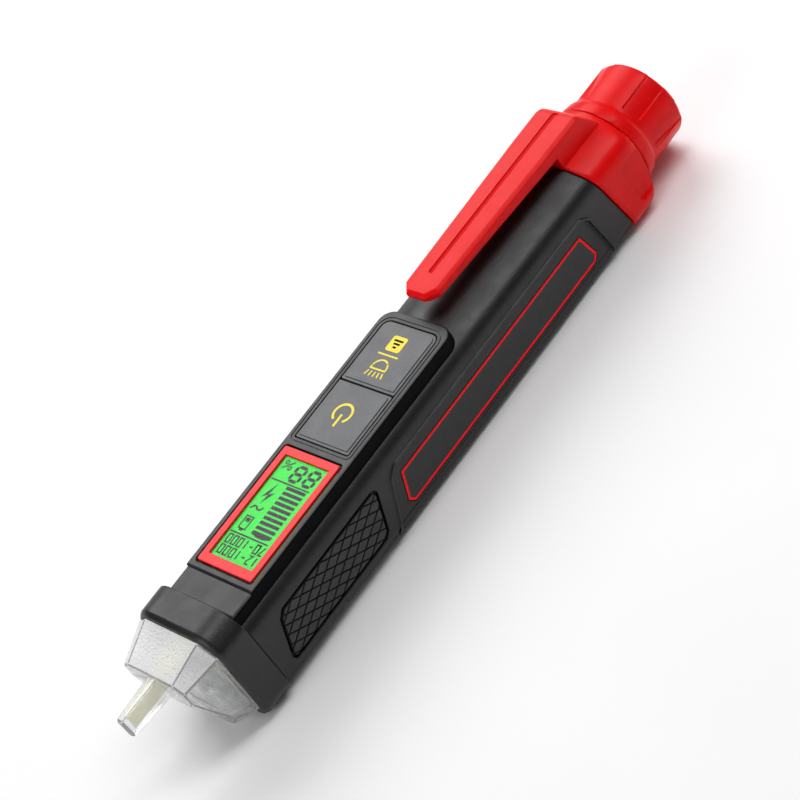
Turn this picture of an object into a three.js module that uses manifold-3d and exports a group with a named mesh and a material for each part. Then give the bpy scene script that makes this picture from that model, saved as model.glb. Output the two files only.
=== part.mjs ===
// A pen-shaped non-contact voltage tester: a clear nose with a probe blade, a black housing with a
// display and two keys on a raised bezel, two AAA cells in line, and a red collar with a pocket clip
// and a ribbed battery cap that screws out of the tail.
//
// Millimetres. The pen lies on its back. Inside the pen group x runs along the pen from the front of
// the nose band towards the tail, y is across it, z is up to the display, and the battery axis is
// y = 0, z = 0. The group is then moved so that the origin is at the middle of the pen's base.

import * as THREE from "three";
import { ConvexGeometry } from "three/addons/geometries/ConvexGeometry.js";
import { mergeVertices } from "three/addons/utils/BufferGeometryUtils.js";
import Module from "manifold-3d";

const wasm = await Module();
wasm.setup();

// ---- driving dimensions ----

const PROBE_TIP = -17.2;
const CAP_END = 137;
const NOSE_FRONT = -8.05;
const BAND_BACK = 6.5;
const GAP = 0.3; // between neighbours inside the pen
const SEAM = 0.12; // between neighbours whose joint shows
const WALL = 1.5;
const CLEAR = 20; // takes a cutter past the pen's surface
const UNDER_ROOF = 2; // a level inside the body, below its roof

// Body section
const BODY_HALF = 10.4;
const BODY_FLOOR = -9.7;
const BODY_CROWN = 9.9;
const BODY_CORNER = 3;
const ARCH_HALF = 8.2;
const ARCH_DROP = 2.15;
const SHOULDER_DROP = 3.75;
const FLANGE = 0.5; // how far the nose band and the collar stand proud of the body
const SOCKET = 1; // inset of the sockets in the band and the collar
const TONGUE = 1.3; // inset of the tongues that enter them
const TONGUE_WALL = 1.2;
const FRONT_TONGUE = 2.6;
const TONGUE_LAP = 3;
const TAIL_TONGUE = 108.5;
const PARTING_Z = -7.6;

// Nose band section
const BAND_HALF = 11;
const BAND_TOP = 12.4;
const BAND_FLAT = 7.6;
const BAND_SIDE_TOP = 9.3;
const BAND_BEVEL = 0.9;

// Nose
const NOSE_CHIN = -4.3;
const NOSE_WALL = 1.5;
const NOSE_FLANGE_FRONT = -0.4;
const NOSE_FLANGE_BACK = 2.2;
const NOSE_THROAT_WALL = 1.4;
const SENSOR_TIP = PROBE_TIP + 1.6;
const SENSOR_HALF = 0.24;
const SENSOR_LOW = 4.35;
const SENSOR_HIGH = 7.35;
const SENSOR_ROOM = 0.12;

// Side recess, grip and label
const RECESS_DEPTH = 0.6;
const POCKET_DEPTH = 0.95;
const GRIP_PROUD = 0.05;
const GRIP_CLEARANCE = 0.3;
const LABEL_DEPTH = 0.65;

// Seam between the body and the collar: it leans back towards the base
const COLLAR_FRONT = 112.9;
const COLLAR_LEAN = 0.245;
const COLLAR_WEB = 118.5;
const COLLAR_BACK = 123.4;

// Bezel
const BEZEL_STEP = 12;
const BEZEL_BACK = 71.7;
const BEZEL_HALF = 8.5;
const BEZEL_TOP = 10.35;
const BEZEL_APRON_TOP = 9.95;
const BEZEL_SEAT = 7.1;
const BEZEL_PLATE = 1.15;
const BEZEL_WALL = 1.2;
const BEZEL_CORNER = 3;
const BEZEL_INSIDE_FRONT = 8.2;
const APRON_PLATE = 0.8;
const DECK_FRONT = 7.9;
const DECK_LEDGE = 0.9;

// Display
const FRAME_FRONT = 13.7;
const FRAME_BACK = 39.4;
const FRAME_HALF = 6.95;
const WINDOW_FRONT = 15.75;
const WINDOW_BACK = 37.65;
const WINDOW_HALF = 5.4;
const FRAME_PROUD = 0.2; // above the bezel
const FRAME_SUNK = 0.4; // below the bezel's top
const LCD_FRONT = 14.6;
const LCD_BACK = 38.6;
const LCD_HALF = 6.3;
const LCD_TOP = 9.85;
const LCD_BOTTOM = 8.45;
const PANE_SUNK = 0.25;
const PANE_PROUD = 0.1;

// Keys
const POWER_FRONT = 41.8;
const POWER_BACK = 55.1;
const LIGHT_FRONT = 55.45;
const LIGHT_BACK = 69.3;
const KEY_HALF = 6.6;
const KEY_TOP = 10.55;
const KEY_CLEARANCE = 0.2;
const KEY_CORNER = 1.6;
const KEY_BOTTOM = BEZEL_TOP - 2.2;
const KEY_RIM_HALF = 7;
const SWITCH_HALF = 2.2;
const SWITCH_HEIGHT = 1;
const PLUNGER_RADIUS = 0.85;
const PLUNGER_FOOT = 0.75;

// Board and cells
const BOARD_FRONT = 10;
const BOARD_BACK = 78;
const BOARD_HALF = 6.6;
const BOARD_BOTTOM = 5.6;
const BOARD_TOP = 6.4;
const CELL_RADIUS = 5.25;
const CELL_LENGTH = 44.5;
const CELL_FRONT = 33.9;
const CRADLE_FRONT = 31;
const CRADLE_BACK = 104;
const CRADLE_HALF = 6.7;
const CRADLE_RADIUS = 5.45;

const CRADLE_TOP = 0.4;
const CONTACT_X = 33.2;
const CONTACT_THICKNESS = 0.4;
const STRIP_END = 109;
const STRIP_LOW = 0.9;
const STRIP_HIGH = 3.4;

// Lamps
const TORCH_Z = -3.4;
const WARNING_Y = 4.6;
const WARNING_Z = 1.6;

// Cover screws
const SCREW_X = [24, 100];
const SCREW_Y = 7.5;
const SCREW_SHANK = 0.75;
const SCREW_TOP = -3.4;
const HEAD_RADIUS = 1.55;
const HEAD_LOW = BODY_FLOOR + 0.05;
const HEAD_HIGH = BODY_FLOOR + 1;
const HEAD_CLEARANCE = 0.2;
const BOSS_RADIUS = 1.55;
const BOSS_TOP = -2.2;
const BOSS_BORE = 0.85;
const BOSS_BORE_TOP = -3.1;
const PAD_RADIUS = 2.4;
const PAD_FLOOR = 0.4; // how far the pad stays inside the cover's outside

// Clip
const CLIP_TIP = 73.1;
const CLIP_ROOT = 110.5;
const CLIP_TOP = 15.25;
const CLIP_BOSS_END = 118.9;
const CLIP_GAP = 0.22; // at the root, so that the clip can flex
const CLIP_SHOULDER = 75.4;
const CLIP_ROOT_HALF = 4.9;
const CLIP_SHOULDER_HALF = 4.1;
const CLIP_TIP_HALF = 2.2;
const CLIP_ROOT_LOW = 12.1;
const CLIP_TIP_LOW = 13.3;
const CLIP_GROOVE_FRONT = 78.3;
const CLIP_GROOVE_HALF = 0.65;
const CLIP_GROOVE_DEPTH = 0.5;
const BOSS_HALF = 4.95;
const BOSS_LOW = 9.6;

// Cap
const CAP_FLANGE_FRONT = 123.6;
const CAP_FLANGE_BACK = 126.6;
const KNOB_RADIUS = 9.25;
const SPIGOT_FRONT = 117.2;
const SPIGOT_RADIUS = 6.9;
const CAP_BORE = 5.7;
const CAP_BORE_END = 128.6;
const CAP_CONTACT_X = 128;
const THREAD_PITCH = 2;
const THREAD_TURNS = 1.75;
const THREAD_RADIUS = 6.95;
const THREAD_WIRE = 0.55;
const THREAD_CLEARANCE = 0.25;
const RECESS_STARTS = [123, 170];
const RECESS_SPAN = 26;
const KNOB_RECESS_DEPTH = 0.5;
const KNOB_RECESS_FRONT = CAP_FLANGE_BACK + 1.8;
const SEAL_RING_RADIUS = 7.65;
const SEAL_WIRE = 0.5;
const SEAL_SEAT_FRONT = 122.15;
const SEAL_SEAT_RADIUS = 8.3;

// ---- solids ----

const TO_X = new THREE.Matrix4().makeBasis(
  new THREE.Vector3(0, 1, 0), new THREE.Vector3(0, 0, 1), new THREE.Vector3(1, 0, 0));
const TO_Y = new THREE.Matrix4().makeBasis(
  new THREE.Vector3(1, 0, 0), new THREE.Vector3(0, 0, 1), new THREE.Vector3(0, -1, 0));

// A closed three.js geometry as a solid, with its faces turned outwards.
function solidOf(geometry) {
  const bare = geometry.clone();
  bare.deleteAttribute("normal");
  bare.deleteAttribute("uv");
  const merged = mergeVertices(bare, 1e-4);
  const corners = merged.index.array;
  const kept = [];
  for (let i = 0; i < corners.length; i += 3) {
    const [a, b, c] = [corners[i], corners[i + 1], corners[i + 2]];
    if (a !== b && b !== c && c !== a) kept.push(a, b, c);
  }
  const build = (triVerts) => new wasm.Manifold(
    new wasm.Mesh({ numProp: 3, vertProperties: merged.attributes.position.array, triVerts }));
  const made = build(new Uint32Array(kept));
  if (made.volume() > 0) return made;
  for (let i = 0; i < kept.length; i += 3) [kept[i + 1], kept[i + 2]] = [kept[i + 2], kept[i + 1]];
  return build(new Uint32Array(kept));
}

function extruded(shape, depth, segments) {
  return new THREE.ExtrudeGeometry(shape, { depth, bevelEnabled: false, curveSegments: segments });
}

// Prisms: an outline in YZ between two x, one in XY between two z, one in XZ between two y.
function alongX(shape, x0, x1, segments = 6) {
  return solidOf(extruded(shape, x1 - x0, segments).applyMatrix4(TO_X).translate(x0, 0, 0));
}

function alongZ(shape, z0, z1, segments = 6) {
  return solidOf(extruded(shape, z1 - z0, segments).translate(0, 0, z0));
}

function alongY(shape, y0, y1, segments = 6) {
  return solidOf(extruded(shape, y1 - y0, segments).applyMatrix4(TO_Y).translate(0, y1, 0));
}

function block(x0, x1, y0, y1, z0, z1) {
  const box = new THREE.BoxGeometry(x1 - x0, y1 - y0, z1 - z0);
  return solidOf(box.translate((x0 + x1) / 2, (y0 + y1) / 2, (z0 + z1) / 2));
}

// A solid of revolution about the battery axis, or a parallel one, from [x, radius] pairs.
function turned(profile, segments = 40, y = 0, z = 0) {
  const points = profile.map(([x, r]) => new THREE.Vector2(r, x));
  points.push(points[0].clone());
  return solidOf(new THREE.LatheGeometry(points, segments).rotateZ(-Math.PI / 2).translate(0, y, z));
}

// A solid of revolution about a vertical axis, from [radius, z] pairs.
function upright(profile, x, y, segments = 20) {
  const points = profile.map(([r, z]) => new THREE.Vector2(r, z));
  points.push(points[0].clone());
  return solidOf(new THREE.LatheGeometry(points, segments).rotateX(Math.PI / 2).translate(x, y, 0));
}

function rod(x, y, z0, z1, radius, segments = 20) {
  return upright([[0, z0], [radius, z0], [radius, z1], [0, z1]], x, y, segments);
}

function swept(curve, steps, radius, sides) {
  const section = new THREE.Shape().absarc(0, 0, radius, 0, 2 * Math.PI);
  return solidOf(new THREE.ExtrudeGeometry(
    section, { steps, extrudePath: curve, curveSegments: sides, bevelEnabled: false }));
}

const cut = (solid, ...tools) => tools.reduce((left, tool) => left.subtract(tool), solid);
const join = (solid, ...others) => others.reduce((left, other) => left.add(other), solid);

// ---- outlines ----

// The body's section in YZ: flat base with round corners, upright sides, arched top. A positive
// inset pulls it in, a negative one pushes it out.
function bodyOutline(inset) {
  const half = BODY_HALF - inset;
  const floor = BODY_FLOOR + inset;
  const crown = BODY_CROWN - inset;
  const corner = BODY_CORNER - inset;
  const arch = ARCH_HALF - 0.75 * inset;
  const drop = ARCH_DROP * (arch / ARCH_HALF) ** 2;
  const archEnd = crown - drop;
  const shoulder = archEnd - (2 * drop / arch) * (half - arch);
  const sideTop = archEnd - SHOULDER_DROP;
  return new THREE.Shape()
    .moveTo(-half, floor + corner)
    .absarc(corner - half, floor + corner, corner, Math.PI, 1.5 * Math.PI)
    .absarc(half - corner, floor + corner, corner, 1.5 * Math.PI, 2 * Math.PI)
    .lineTo(half, sideTop)
    .quadraticCurveTo(half, shoulder, arch, archEnd)
    .quadraticCurveTo(0, 2 * crown - archEnd, -arch, archEnd)
    .quadraticCurveTo(-half, shoulder, -half, sideTop);
}

// The nose band's section: flat top with broad chamfers, round lower corners.
function bandOutline(inset) {
  const half = BAND_HALF - inset;
  const floor = BODY_FLOOR - FLANGE + inset;
  const corner = BODY_CORNER + FLANGE - inset;
  const top = BAND_TOP - inset;
  const flat = BAND_FLAT - 0.4 * inset;
  const side = BAND_SIDE_TOP - 0.6 * inset;
  return new THREE.Shape()
    .moveTo(-half, floor + corner)
    .absarc(corner - half, floor + corner, corner, Math.PI, 1.5 * Math.PI)
    .absarc(half - corner, floor + corner, corner, 1.5 * Math.PI, 2 * Math.PI)
    .lineTo(half, side)
    .lineTo(flat, top)
    .lineTo(-flat, top)
    .lineTo(-half, side);
}

// A rectangle in plan with square front corners and round rear ones.
function tongueOutline(front, back, half, radius) {
  return new THREE.Shape()
    .moveTo(front, -half)
    .lineTo(back - radius, -half)
    .absarc(back - radius, radius - half, radius, 1.5 * Math.PI, 2 * Math.PI)
    .absarc(back - radius, half - radius, radius, 0, 0.5 * Math.PI)
    .lineTo(front, half);
}

function rectangle(x0, x1, half) {
  return new THREE.Shape().moveTo(x0, -half).lineTo(x1, -half).lineTo(x1, half).lineTo(x0, half);
}

function circle(radius) {
  return new THREE.Shape().absarc(0, 0, radius, 0, 2 * Math.PI);
}

const polygon = (points) => new THREE.Shape(points.map(([a, b]) => new THREE.Vector2(a, b)));

// The side grip's leaning outline in XZ, and the label panel's, both pulled in by inset.
function gripOutline(inset) {
  const [lean, leansFrom] = [0.3, 4];
  const [low, high] = [-6.5 + inset, 4 - inset];
  const [front, back] = [12.9 + inset, 41.2 - inset];
  const at = (x, z) => [x + lean * (z - leansFrom), z];
  return polygon([
    at(front, low + 1.2), at(front + 0.9, low), at(back - 0.9, low), at(back, low + 1.2),
    at(back, high - 1.4), at(back - 1.1, high), at(front + 1.1, high), at(front, high - 1.4)]);
}

function labelOutline(inset) {
  const [low, high] = [-7 + inset, 0.7 - inset];
  return polygon([
    [44.9 + inset, low + 1.5], [46.1 + inset, low], [103.6 - inset, low], [104.9 - inset, low + 1.4],
    [103.1 - inset, high], [46.8 + inset, high]]);
}

const sideRecessOutline = () => polygon([
  [39.4, -12], [40.4, -9], [44.5, 2], [46.4, 3.4], [104.4, 3.5], [106.1, 2], [107.7, -6], [108.8, -12]]);

// ---- scene graph ----

const PAINT = {
  body: new THREE.MeshStandardMaterial({ color: 0x2b2b2d, roughness: 0.55, metalness: 0 }),
  bezel: new THREE.MeshStandardMaterial({ color: 0x3c3c3e, roughness: 0.5, metalness: 0 }),
  key: new THREE.MeshStandardMaterial({ color: 0x6f7072, roughness: 0.6, metalness: 0 }),
  rubber: new THREE.MeshStandardMaterial({ color: 0x1c1c1d, roughness: 0.85, metalness: 0 }),
  red: new THREE.MeshStandardMaterial({ color: 0xd9161f, roughness: 0.45, metalness: 0 }),
  clear: new THREE.MeshStandardMaterial({ color: 0xf2f4f5, roughness: 0.1, metalness: 0 }),
  cream: new THREE.MeshStandardMaterial({ color: 0xe9e6c0, roughness: 0.6, metalness: 0 }),
  screen: new THREE.MeshStandardMaterial({ color: 0x6af27a, roughness: 0.3, metalness: 0 }),
  board: new THREE.MeshStandardMaterial({ color: 0x14532b, roughness: 0.5, metalness: 0 }),
  metal: new THREE.MeshStandardMaterial({ color: 0xb9bcc0, roughness: 0.3, metalness: 1 }),
  cell: new THREE.MeshStandardMaterial({ color: 0x3b6ea5, roughness: 0.35, metalness: 0.4 }),
};

const tester = new THREE.Group();
const pen = new THREE.Group();
pen.position.set(-(PROBE_TIP + CAP_END) / 2, 0, FLANGE - BODY_FLOOR);
tester.add(pen);

const groups = {};
for (const name of ["casing", "display", "keys", "electronics", "power", "tail"]) {
  groups[name] = new THREE.Group();
  pen.add(groups[name]);
}

function add(group, name, solid, paint) {
  const { numProp, vertProperties, triVerts } = solid.getMesh();
  const geometry = new THREE.BufferGeometry()
    .setAttribute("position", new THREE.BufferAttribute(vertProperties, numProp))
    .setIndex(new THREE.BufferAttribute(triVerts, 1));
  geometry.computeVertexNormals();
  const mesh = new THREE.Mesh(geometry, PAINT[paint]);
  mesh.name = name;
  groups[group].add(mesh);
}

// ---- casing ----

const collarSeamX = (z) => COLLAR_FRONT - COLLAR_LEAN * z;

// Everything behind the leaning collar seam, moved along x by shift.
function behindSeam(shift) {
  const back = CAP_END + CLEAR;
  return alongY(polygon([
    [collarSeamX(-CLEAR) + shift, -CLEAR], [back, -CLEAR], [back, CLEAR], [collarSeamX(CLEAR) + shift, CLEAR]]),
  -CLEAR, CLEAR);
}

// Everything between two levels.
const layer = (z0, z1) => block(PROBE_TIP - CLEAR, CAP_END + CLEAR, -CLEAR, CLEAR, z0, z1);

function tube(outer, inner, x0, x1) {
  return cut(alongX(bodyOutline(outer), x0, x1), alongX(bodyOutline(inner), x0 - CLEAR, x1 + CLEAR));
}

const bodySkin = cut(tube(0, WALL, BAND_BACK + SEAM, COLLAR_BACK), behindSeam(-SEAM));
const frontTongue = tube(TONGUE, TONGUE + TONGUE_WALL, FRONT_TONGUE, BAND_BACK + TONGUE_LAP);
const tailTongue = tube(TONGUE, TONGUE + TONGUE_WALL, TAIL_TONGUE, COLLAR_WEB - GAP);

function screwBosses() {
  return SCREW_X.flatMap((x) => [-1, 1].map((side) => {
    const boss = rod(x, side * SCREW_Y, PARTING_Z + SEAM, BOSS_TOP, BOSS_RADIUS);
    return cut(boss, rod(x, side * SCREW_Y, -CLEAR, BOSS_BORE_TOP, BOSS_BORE, 12));
  }));
}

// The [low, high] pair of y values for a span given on one side of the pen.
function between(side, near, far) {
  return side > 0 ? [near, far] : [-far, -near];
}

function sidePocket(side, outline, depth) {
  return alongY(outline, ...between(side, BODY_HALF - depth, CLEAR));
}

function mainHousing() {
  const upper = cut(join(bodySkin, frontTongue, tailTongue), layer(-CLEAR, PARTING_Z + SEAM / 2));
  const seat = alongZ(
    tongueOutline(0, BEZEL_BACK + SEAM, BEZEL_HALF + SEAM, BEZEL_CORNER + SEAM), BEZEL_SEAT, CLEAR);
  const deck = alongZ(tongueOutline(
    DECK_FRONT, BEZEL_BACK - DECK_LEDGE, BEZEL_HALF - DECK_LEDGE, BEZEL_CORNER - DECK_LEDGE),
  UNDER_ROOF, CLEAR);
  const pockets = [-1, 1].flatMap((side) => [
    sidePocket(side, sideRecessOutline(), RECESS_DEPTH),
    sidePocket(side, labelOutline(0), POCKET_DEPTH),
    sidePocket(side, gripOutline(0), POCKET_DEPTH)]);
  return join(cut(upper, seat, deck, ...pockets), ...screwBosses());
}

function backCover() {
  const lower = bodySkin.intersect(layer(-CLEAR, PARTING_Z - SEAM / 2));
  const pockets = [-1, 1].map((side) => sidePocket(side, sideRecessOutline(), RECESS_DEPTH));
  const screws = SCREW_X.flatMap((x) => [-1, 1].map((side) => [x, side * SCREW_Y]));
  const holes = screws.flatMap(([x, y]) => [
    rod(x, y, -CLEAR, BOSS_BORE_TOP, BOSS_BORE + SEAM, 16),
    rod(x, y, -CLEAR, HEAD_HIGH + SEAM, HEAD_RADIUS + HEAD_CLEARANCE)]);
  const inside = alongX(bodyOutline(PAD_FLOOR), PROBE_TIP, CAP_END);
  const pads = screws.map(([x, y]) =>
    rod(x, y, BODY_FLOOR + PAD_FLOOR, PARTING_Z - SEAM / 2, PAD_RADIUS).intersect(inside));
  return cut(join(lower, ...pads), ...pockets, ...holes);
}

// A countersunk screw with a cross in its head.
function coverScrew(x, y) {
  const chamfer = 0.3;
  const [slotReach, slotHalf, slotTop] = [0.9, 0.18, BODY_FLOOR + 0.6];
  const head = upright([[0, HEAD_LOW], [HEAD_RADIUS - chamfer, HEAD_LOW], [HEAD_RADIUS, HEAD_LOW + chamfer],
    [HEAD_RADIUS, HEAD_HIGH], [0, HEAD_HIGH]], x, y);
  const shank = rod(x, y, HEAD_HIGH - chamfer, SCREW_TOP, SCREW_SHANK, 12);
  const cross = [
    block(x - slotReach, x + slotReach, y - slotHalf, y + slotHalf, -CLEAR, slotTop),
    block(x - slotHalf, x + slotHalf, y - slotReach, y + slotReach, -CLEAR, slotTop)];
  return cut(join(head, shank), ...cross);
}

function noseBand() {
  const rim = (x, inset) => bandOutline(inset).getPoints(6).map((p) => new THREE.Vector3(x, p.x, p.y));
  const outer = solidOf(new ConvexGeometry([
    ...rim(0, FLANGE), ...rim(BAND_BEVEL, 0), ...rim(BAND_BACK, 0)]));
  return cut(outer, alongX(bodyOutline(SOCKET), -CLEAR, CLEAR));
}

// Clear nose: a faceted shell that narrows to the front face, with a hollow blade that holds the sensor.
// Each corner is x, y, z, and how far y and z move towards the middle for each millimetre of inset.
function noseFacets(inset, front, base) {
  const corners = [
    [base, 6.9, 11.5, 0.4, 1], [base, 10.3, 8.9, 1, 0.6], [base, 10.3, -6.3, 1, -1], [base, 7, -9.5, 0.4, -1],
    [front, 5.9, 9, 0.4, 1], [front, 7.9, 7.6, 1, 0.6], [front, 7.9, 4.6, 1, -0.4], [front, 6.4, 3.1, 0.4, -1],
    [NOSE_CHIN, 9, -4.5, 1, -0.5], [NOSE_CHIN, 6.5, -7.7, 0.4, -1]];
  return solidOf(new ConvexGeometry(corners.flatMap(([x, y, z, yShare, zShare]) => [-1, 1].map((side) =>
    new THREE.Vector3(x, side * (y - yShare * inset), z - zShare * inset)))));
}

// The blade tapers from its root to a bevelled tip: x, half thickness, low and high edge.
function probeBlade() {
  const sections = [[-6.6, 1.1, 2.8, 8.3], [PROBE_TIP + 0.4, 0.7, 3.5, 8.1], [PROBE_TIP, 0.45, 3.9, 7.8]];
  return solidOf(new ConvexGeometry(sections.flatMap(([x, half, low, high]) => [-half, half].flatMap((y) => [
    new THREE.Vector3(x, y, low), new THREE.Vector3(x, y, high)]))));
}

function clearNose() {
  const flange = alongX(bodyOutline(TONGUE), NOSE_FLANGE_FRONT, NOSE_FLANGE_BACK);
  const shell = join(noseFacets(0, NOSE_FRONT, -SEAM), probeBlade(), flange);
  const hollow = noseFacets(NOSE_WALL, NOSE_FRONT + NOSE_WALL, NOSE_FLANGE_FRONT - SEAM);
  const throat = alongX(bodyOutline(TONGUE + NOSE_THROAT_WALL), -NOSE_WALL, BAND_BACK);
  const half = SENSOR_HALF + SENSOR_ROOM;
  const pocket = block(
    SENSOR_TIP - SENSOR_ROOM, NOSE_CHIN, -half, half, SENSOR_LOW - SENSOR_ROOM, SENSOR_HIGH + SENSOR_ROOM);
  return cut(shell, hollow, throat, pocket);
}

// The sensor: an upright strip in the blade on a flat tab that reaches back to the main board.
function noseSensor() {
  const [stripBack, tabFront, tabHalf, tabLow, tabHigh] = [-2.5, -5.6, 2.3, 6.5, 6.95];
  const strip = block(SENSOR_TIP, stripBack, -SENSOR_HALF, SENSOR_HALF, SENSOR_LOW, SENSOR_HIGH);
  const tab = block(tabFront, BOARD_FRONT + 1.5, -tabHalf, tabHalf, tabLow, tabHigh);
  return join(strip, tab);
}

add("casing", "main_housing", mainHousing(), "body");
add("casing", "back_cover", backCover(), "body");
SCREW_X.forEach((x, i) => [-1, 1].forEach((side, j) =>
  add("casing", `cover_screw_${2 * i + j + 1}`, coverScrew(x, side * SCREW_Y), "metal")));
add("casing", "nose_band", noseBand(), "body");
add("casing", "clear_nose", clearNose(), "clear");
for (const [side, name] of [[-1, "left"], [1, "right"]]) {
  const floor = BODY_HALF - POCKET_DEPTH + SEAM;
  add("casing", `grip_pad_${name}`,
    alongY(gripOutline(GRIP_CLEARANCE), ...between(side, floor, BODY_HALF + GRIP_PROUD)), "rubber");
  add("casing", `label_panel_${name}`,
    alongY(labelOutline(SEAM), ...between(side, floor, BODY_HALF - LABEL_DEPTH)), "body");
}

// ---- display and bezel ----

function displayBezel() {
  const bottom = BEZEL_SEAT + SEAM;
  const plate = alongZ(tongueOutline(BEZEL_STEP, BEZEL_BACK, BEZEL_HALF, BEZEL_CORNER), bottom, BEZEL_TOP);
  const apron = alongZ(rectangle(BAND_BACK + SEAM, BEZEL_STEP + SEAM, BEZEL_HALF), bottom, BEZEL_APRON_TOP);
  const inside = alongZ(tongueOutline(
    BEZEL_INSIDE_FRONT, BEZEL_BACK - BEZEL_WALL, BEZEL_HALF - BEZEL_WALL, BEZEL_CORNER - BEZEL_WALL),
  UNDER_ROOF, BEZEL_TOP - BEZEL_PLATE);
  const frontRoof = block(0, BEZEL_STEP, -CLEAR, CLEAR, BEZEL_APRON_TOP - APRON_PLATE, CLEAR);
  const windowHole = alongZ(
    rectangle(FRAME_FRONT - SEAM, FRAME_BACK + SEAM, FRAME_HALF + SEAM), UNDER_ROOF, CLEAR);
  const keyHole = alongZ(tongueOutline(POWER_FRONT - KEY_CLEARANCE, LIGHT_BACK + KEY_CLEARANCE,
    KEY_HALF + KEY_CLEARANCE, KEY_CORNER + KEY_CLEARANCE), UNDER_ROOF, CLEAR);
  return cut(join(plate, apron), cut(inside, frontRoof), windowHole, keyHole);
}

function displayFrame() {
  const ring = alongZ(rectangle(FRAME_FRONT, FRAME_BACK, FRAME_HALF),
    BEZEL_TOP - FRAME_SUNK, BEZEL_TOP + FRAME_PROUD);
  const hole = alongZ(
    rectangle(WINDOW_FRONT - SEAM, WINDOW_BACK + SEAM, WINDOW_HALF + SEAM), UNDER_ROOF, CLEAR);
  return cut(ring, hole);
}

add("display", "display_bezel", displayBezel(), "bezel");
add("display", "display_frame", displayFrame(), "red");
add("display", "display_window", block(WINDOW_FRONT, WINDOW_BACK, -WINDOW_HALF, WINDOW_HALF,
  BEZEL_TOP - PANE_SUNK, BEZEL_TOP + PANE_PROUD), "clear");
add("display", "lcd_cell",
  block(LCD_FRONT, LCD_BACK, -LCD_HALF, LCD_HALF, LCD_BOTTOM, LCD_TOP), "screen");
add("display", "lcd_backlight",
  block(LCD_FRONT, LCD_BACK, -LCD_HALF, LCD_HALF, BOARD_TOP + GAP, LCD_BOTTOM - SEAM), "cream");

// ---- keys ----

function keyCap(front, back, corner) {
  const cap = alongZ(tongueOutline(front, back, KEY_HALF, corner), KEY_BOTTOM, KEY_TOP);
  const rim = block(front, back, -KEY_RIM_HALF, KEY_RIM_HALF, KEY_BOTTOM, BEZEL_TOP - BEZEL_PLATE - GAP);
  return join(cap, rim);
}

function switchBase(x) {
  const [foot, top] = [BOARD_TOP + 0.05, BOARD_TOP + SWITCH_HEIGHT];
  const base = block(x - SWITCH_HALF, x + SWITCH_HALF, -SWITCH_HALF, SWITCH_HALF, foot, top);
  return cut(base, rod(x, 0, foot + 0.2, CLEAR, PLUNGER_RADIUS + 0.25));
}

function switchPlunger(x) {
  return rod(x, 0, BOARD_TOP + PLUNGER_FOOT, KEY_BOTTOM - SEAM, PLUNGER_RADIUS);
}

const KEYS = [
  ["power", POWER_FRONT, POWER_BACK, KEY_CLEARANCE],
  ["light", LIGHT_FRONT, LIGHT_BACK, KEY_CORNER],
];
for (const [name, front, back, corner] of KEYS) {
  const middle = (front + back) / 2;
  add("keys", `${name}_key`, keyCap(front, back, corner), "key");
  add("keys", `${name}_switch_plunger`, switchPlunger(middle), "rubber");
  add("keys", `${name}_switch_base`, switchBase(middle), "metal");
}

// ---- electronics ----

// The main board, with a slot in its front edge.
function mainBoard() {
  const [slotDepth, slotHalf] = [2, 0.8];
  const board = block(BOARD_FRONT, BOARD_BACK, -BOARD_HALF, BOARD_HALF, BOARD_BOTTOM, BOARD_TOP);
  return cut(board, block(0, BOARD_FRONT + slotDepth, -slotHalf, slotHalf, -CLEAR, CLEAR));
}

// The upright board that carries the torch and the warning lamp.
function noseBoard() {
  const [front, back, half, low, high] = [3.3, 4.1, 7, -7.2, 4];
  return block(front, back, -half, half, low, high);
}

// A domed lamp on the nose board's front, from its tip back to its flat foot.
function torchLamp() {
  return turned([[-2, 0], [-1.6, 1], [-0.8, 1.5], [3, 1.5], [3, 0]], 20, 0, TORCH_Z);
}

function warningLamp() {
  return turned([[0, 0], [0.3, 0.9], [0.8, 1.2], [3, 1.2], [3, 0]], 16, WARNING_Y, WARNING_Z);
}

// A thin cup round the torch lamp.
function torchReflector() {
  return turned([[-2.3, 3.5], [-2.3, 3.1], [0.6, 1.8], [0.6, 2.6], [-1.6, 3.5]], 32, 0, TORCH_Z);
}

function buzzer() {
  const [x, radius] = [19, 5];
  return rod(x, 0, 0, BOARD_BOTTOM - GAP, radius, 28);
}

add("electronics", "nose_sensor", noseSensor(), "cream");
add("electronics", "main_board", mainBoard(), "board");
add("electronics", "nose_board", noseBoard(), "board");
add("electronics", "torch_led", torchLamp(), "clear");
add("electronics", "torch_reflector", torchReflector(), "metal");
add("electronics", "warning_led", warningLamp(), "red");
add("electronics", "buzzer", buzzer(), "rubber");

// ---- battery compartment ----

function batteryCradle() {
  const [wall, room] = [2, 0.4];
  const floor = BODY_FLOOR + WALL + GAP;
  const tray = block(CRADLE_FRONT, CRADLE_BACK, -CRADLE_HALF, CRADLE_HALF, floor, CRADLE_TOP);
  const channel = alongX(circle(CRADLE_RADIUS), CRADLE_FRONT + wall, CRADLE_BACK + wall, 32);
  const screwRoom = [-SCREW_Y, SCREW_Y].flatMap((y) => [
    rod(SCREW_X[1], y, -CLEAR, CLEAR, BOSS_RADIUS + room),
    rod(SCREW_X[1], y, -CLEAR, PARTING_Z + GAP, PAD_RADIUS + GAP)]);
  return cut(tray, channel, ...screwRoom);
}

// A disc against the front cell, with a tab up to the main board.
function frontContact() {
  const [radius, tabHalf, tabLow] = [4, 1.2, 3];
  const back = CONTACT_X + CONTACT_THICKNESS;
  const disc = alongX(circle(radius), CONTACT_X, back, 24);
  return join(disc, block(CONTACT_X, back, -tabHalf, tabHalf, tabLow, BOARD_BOTTOM - SEAM));
}

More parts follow.
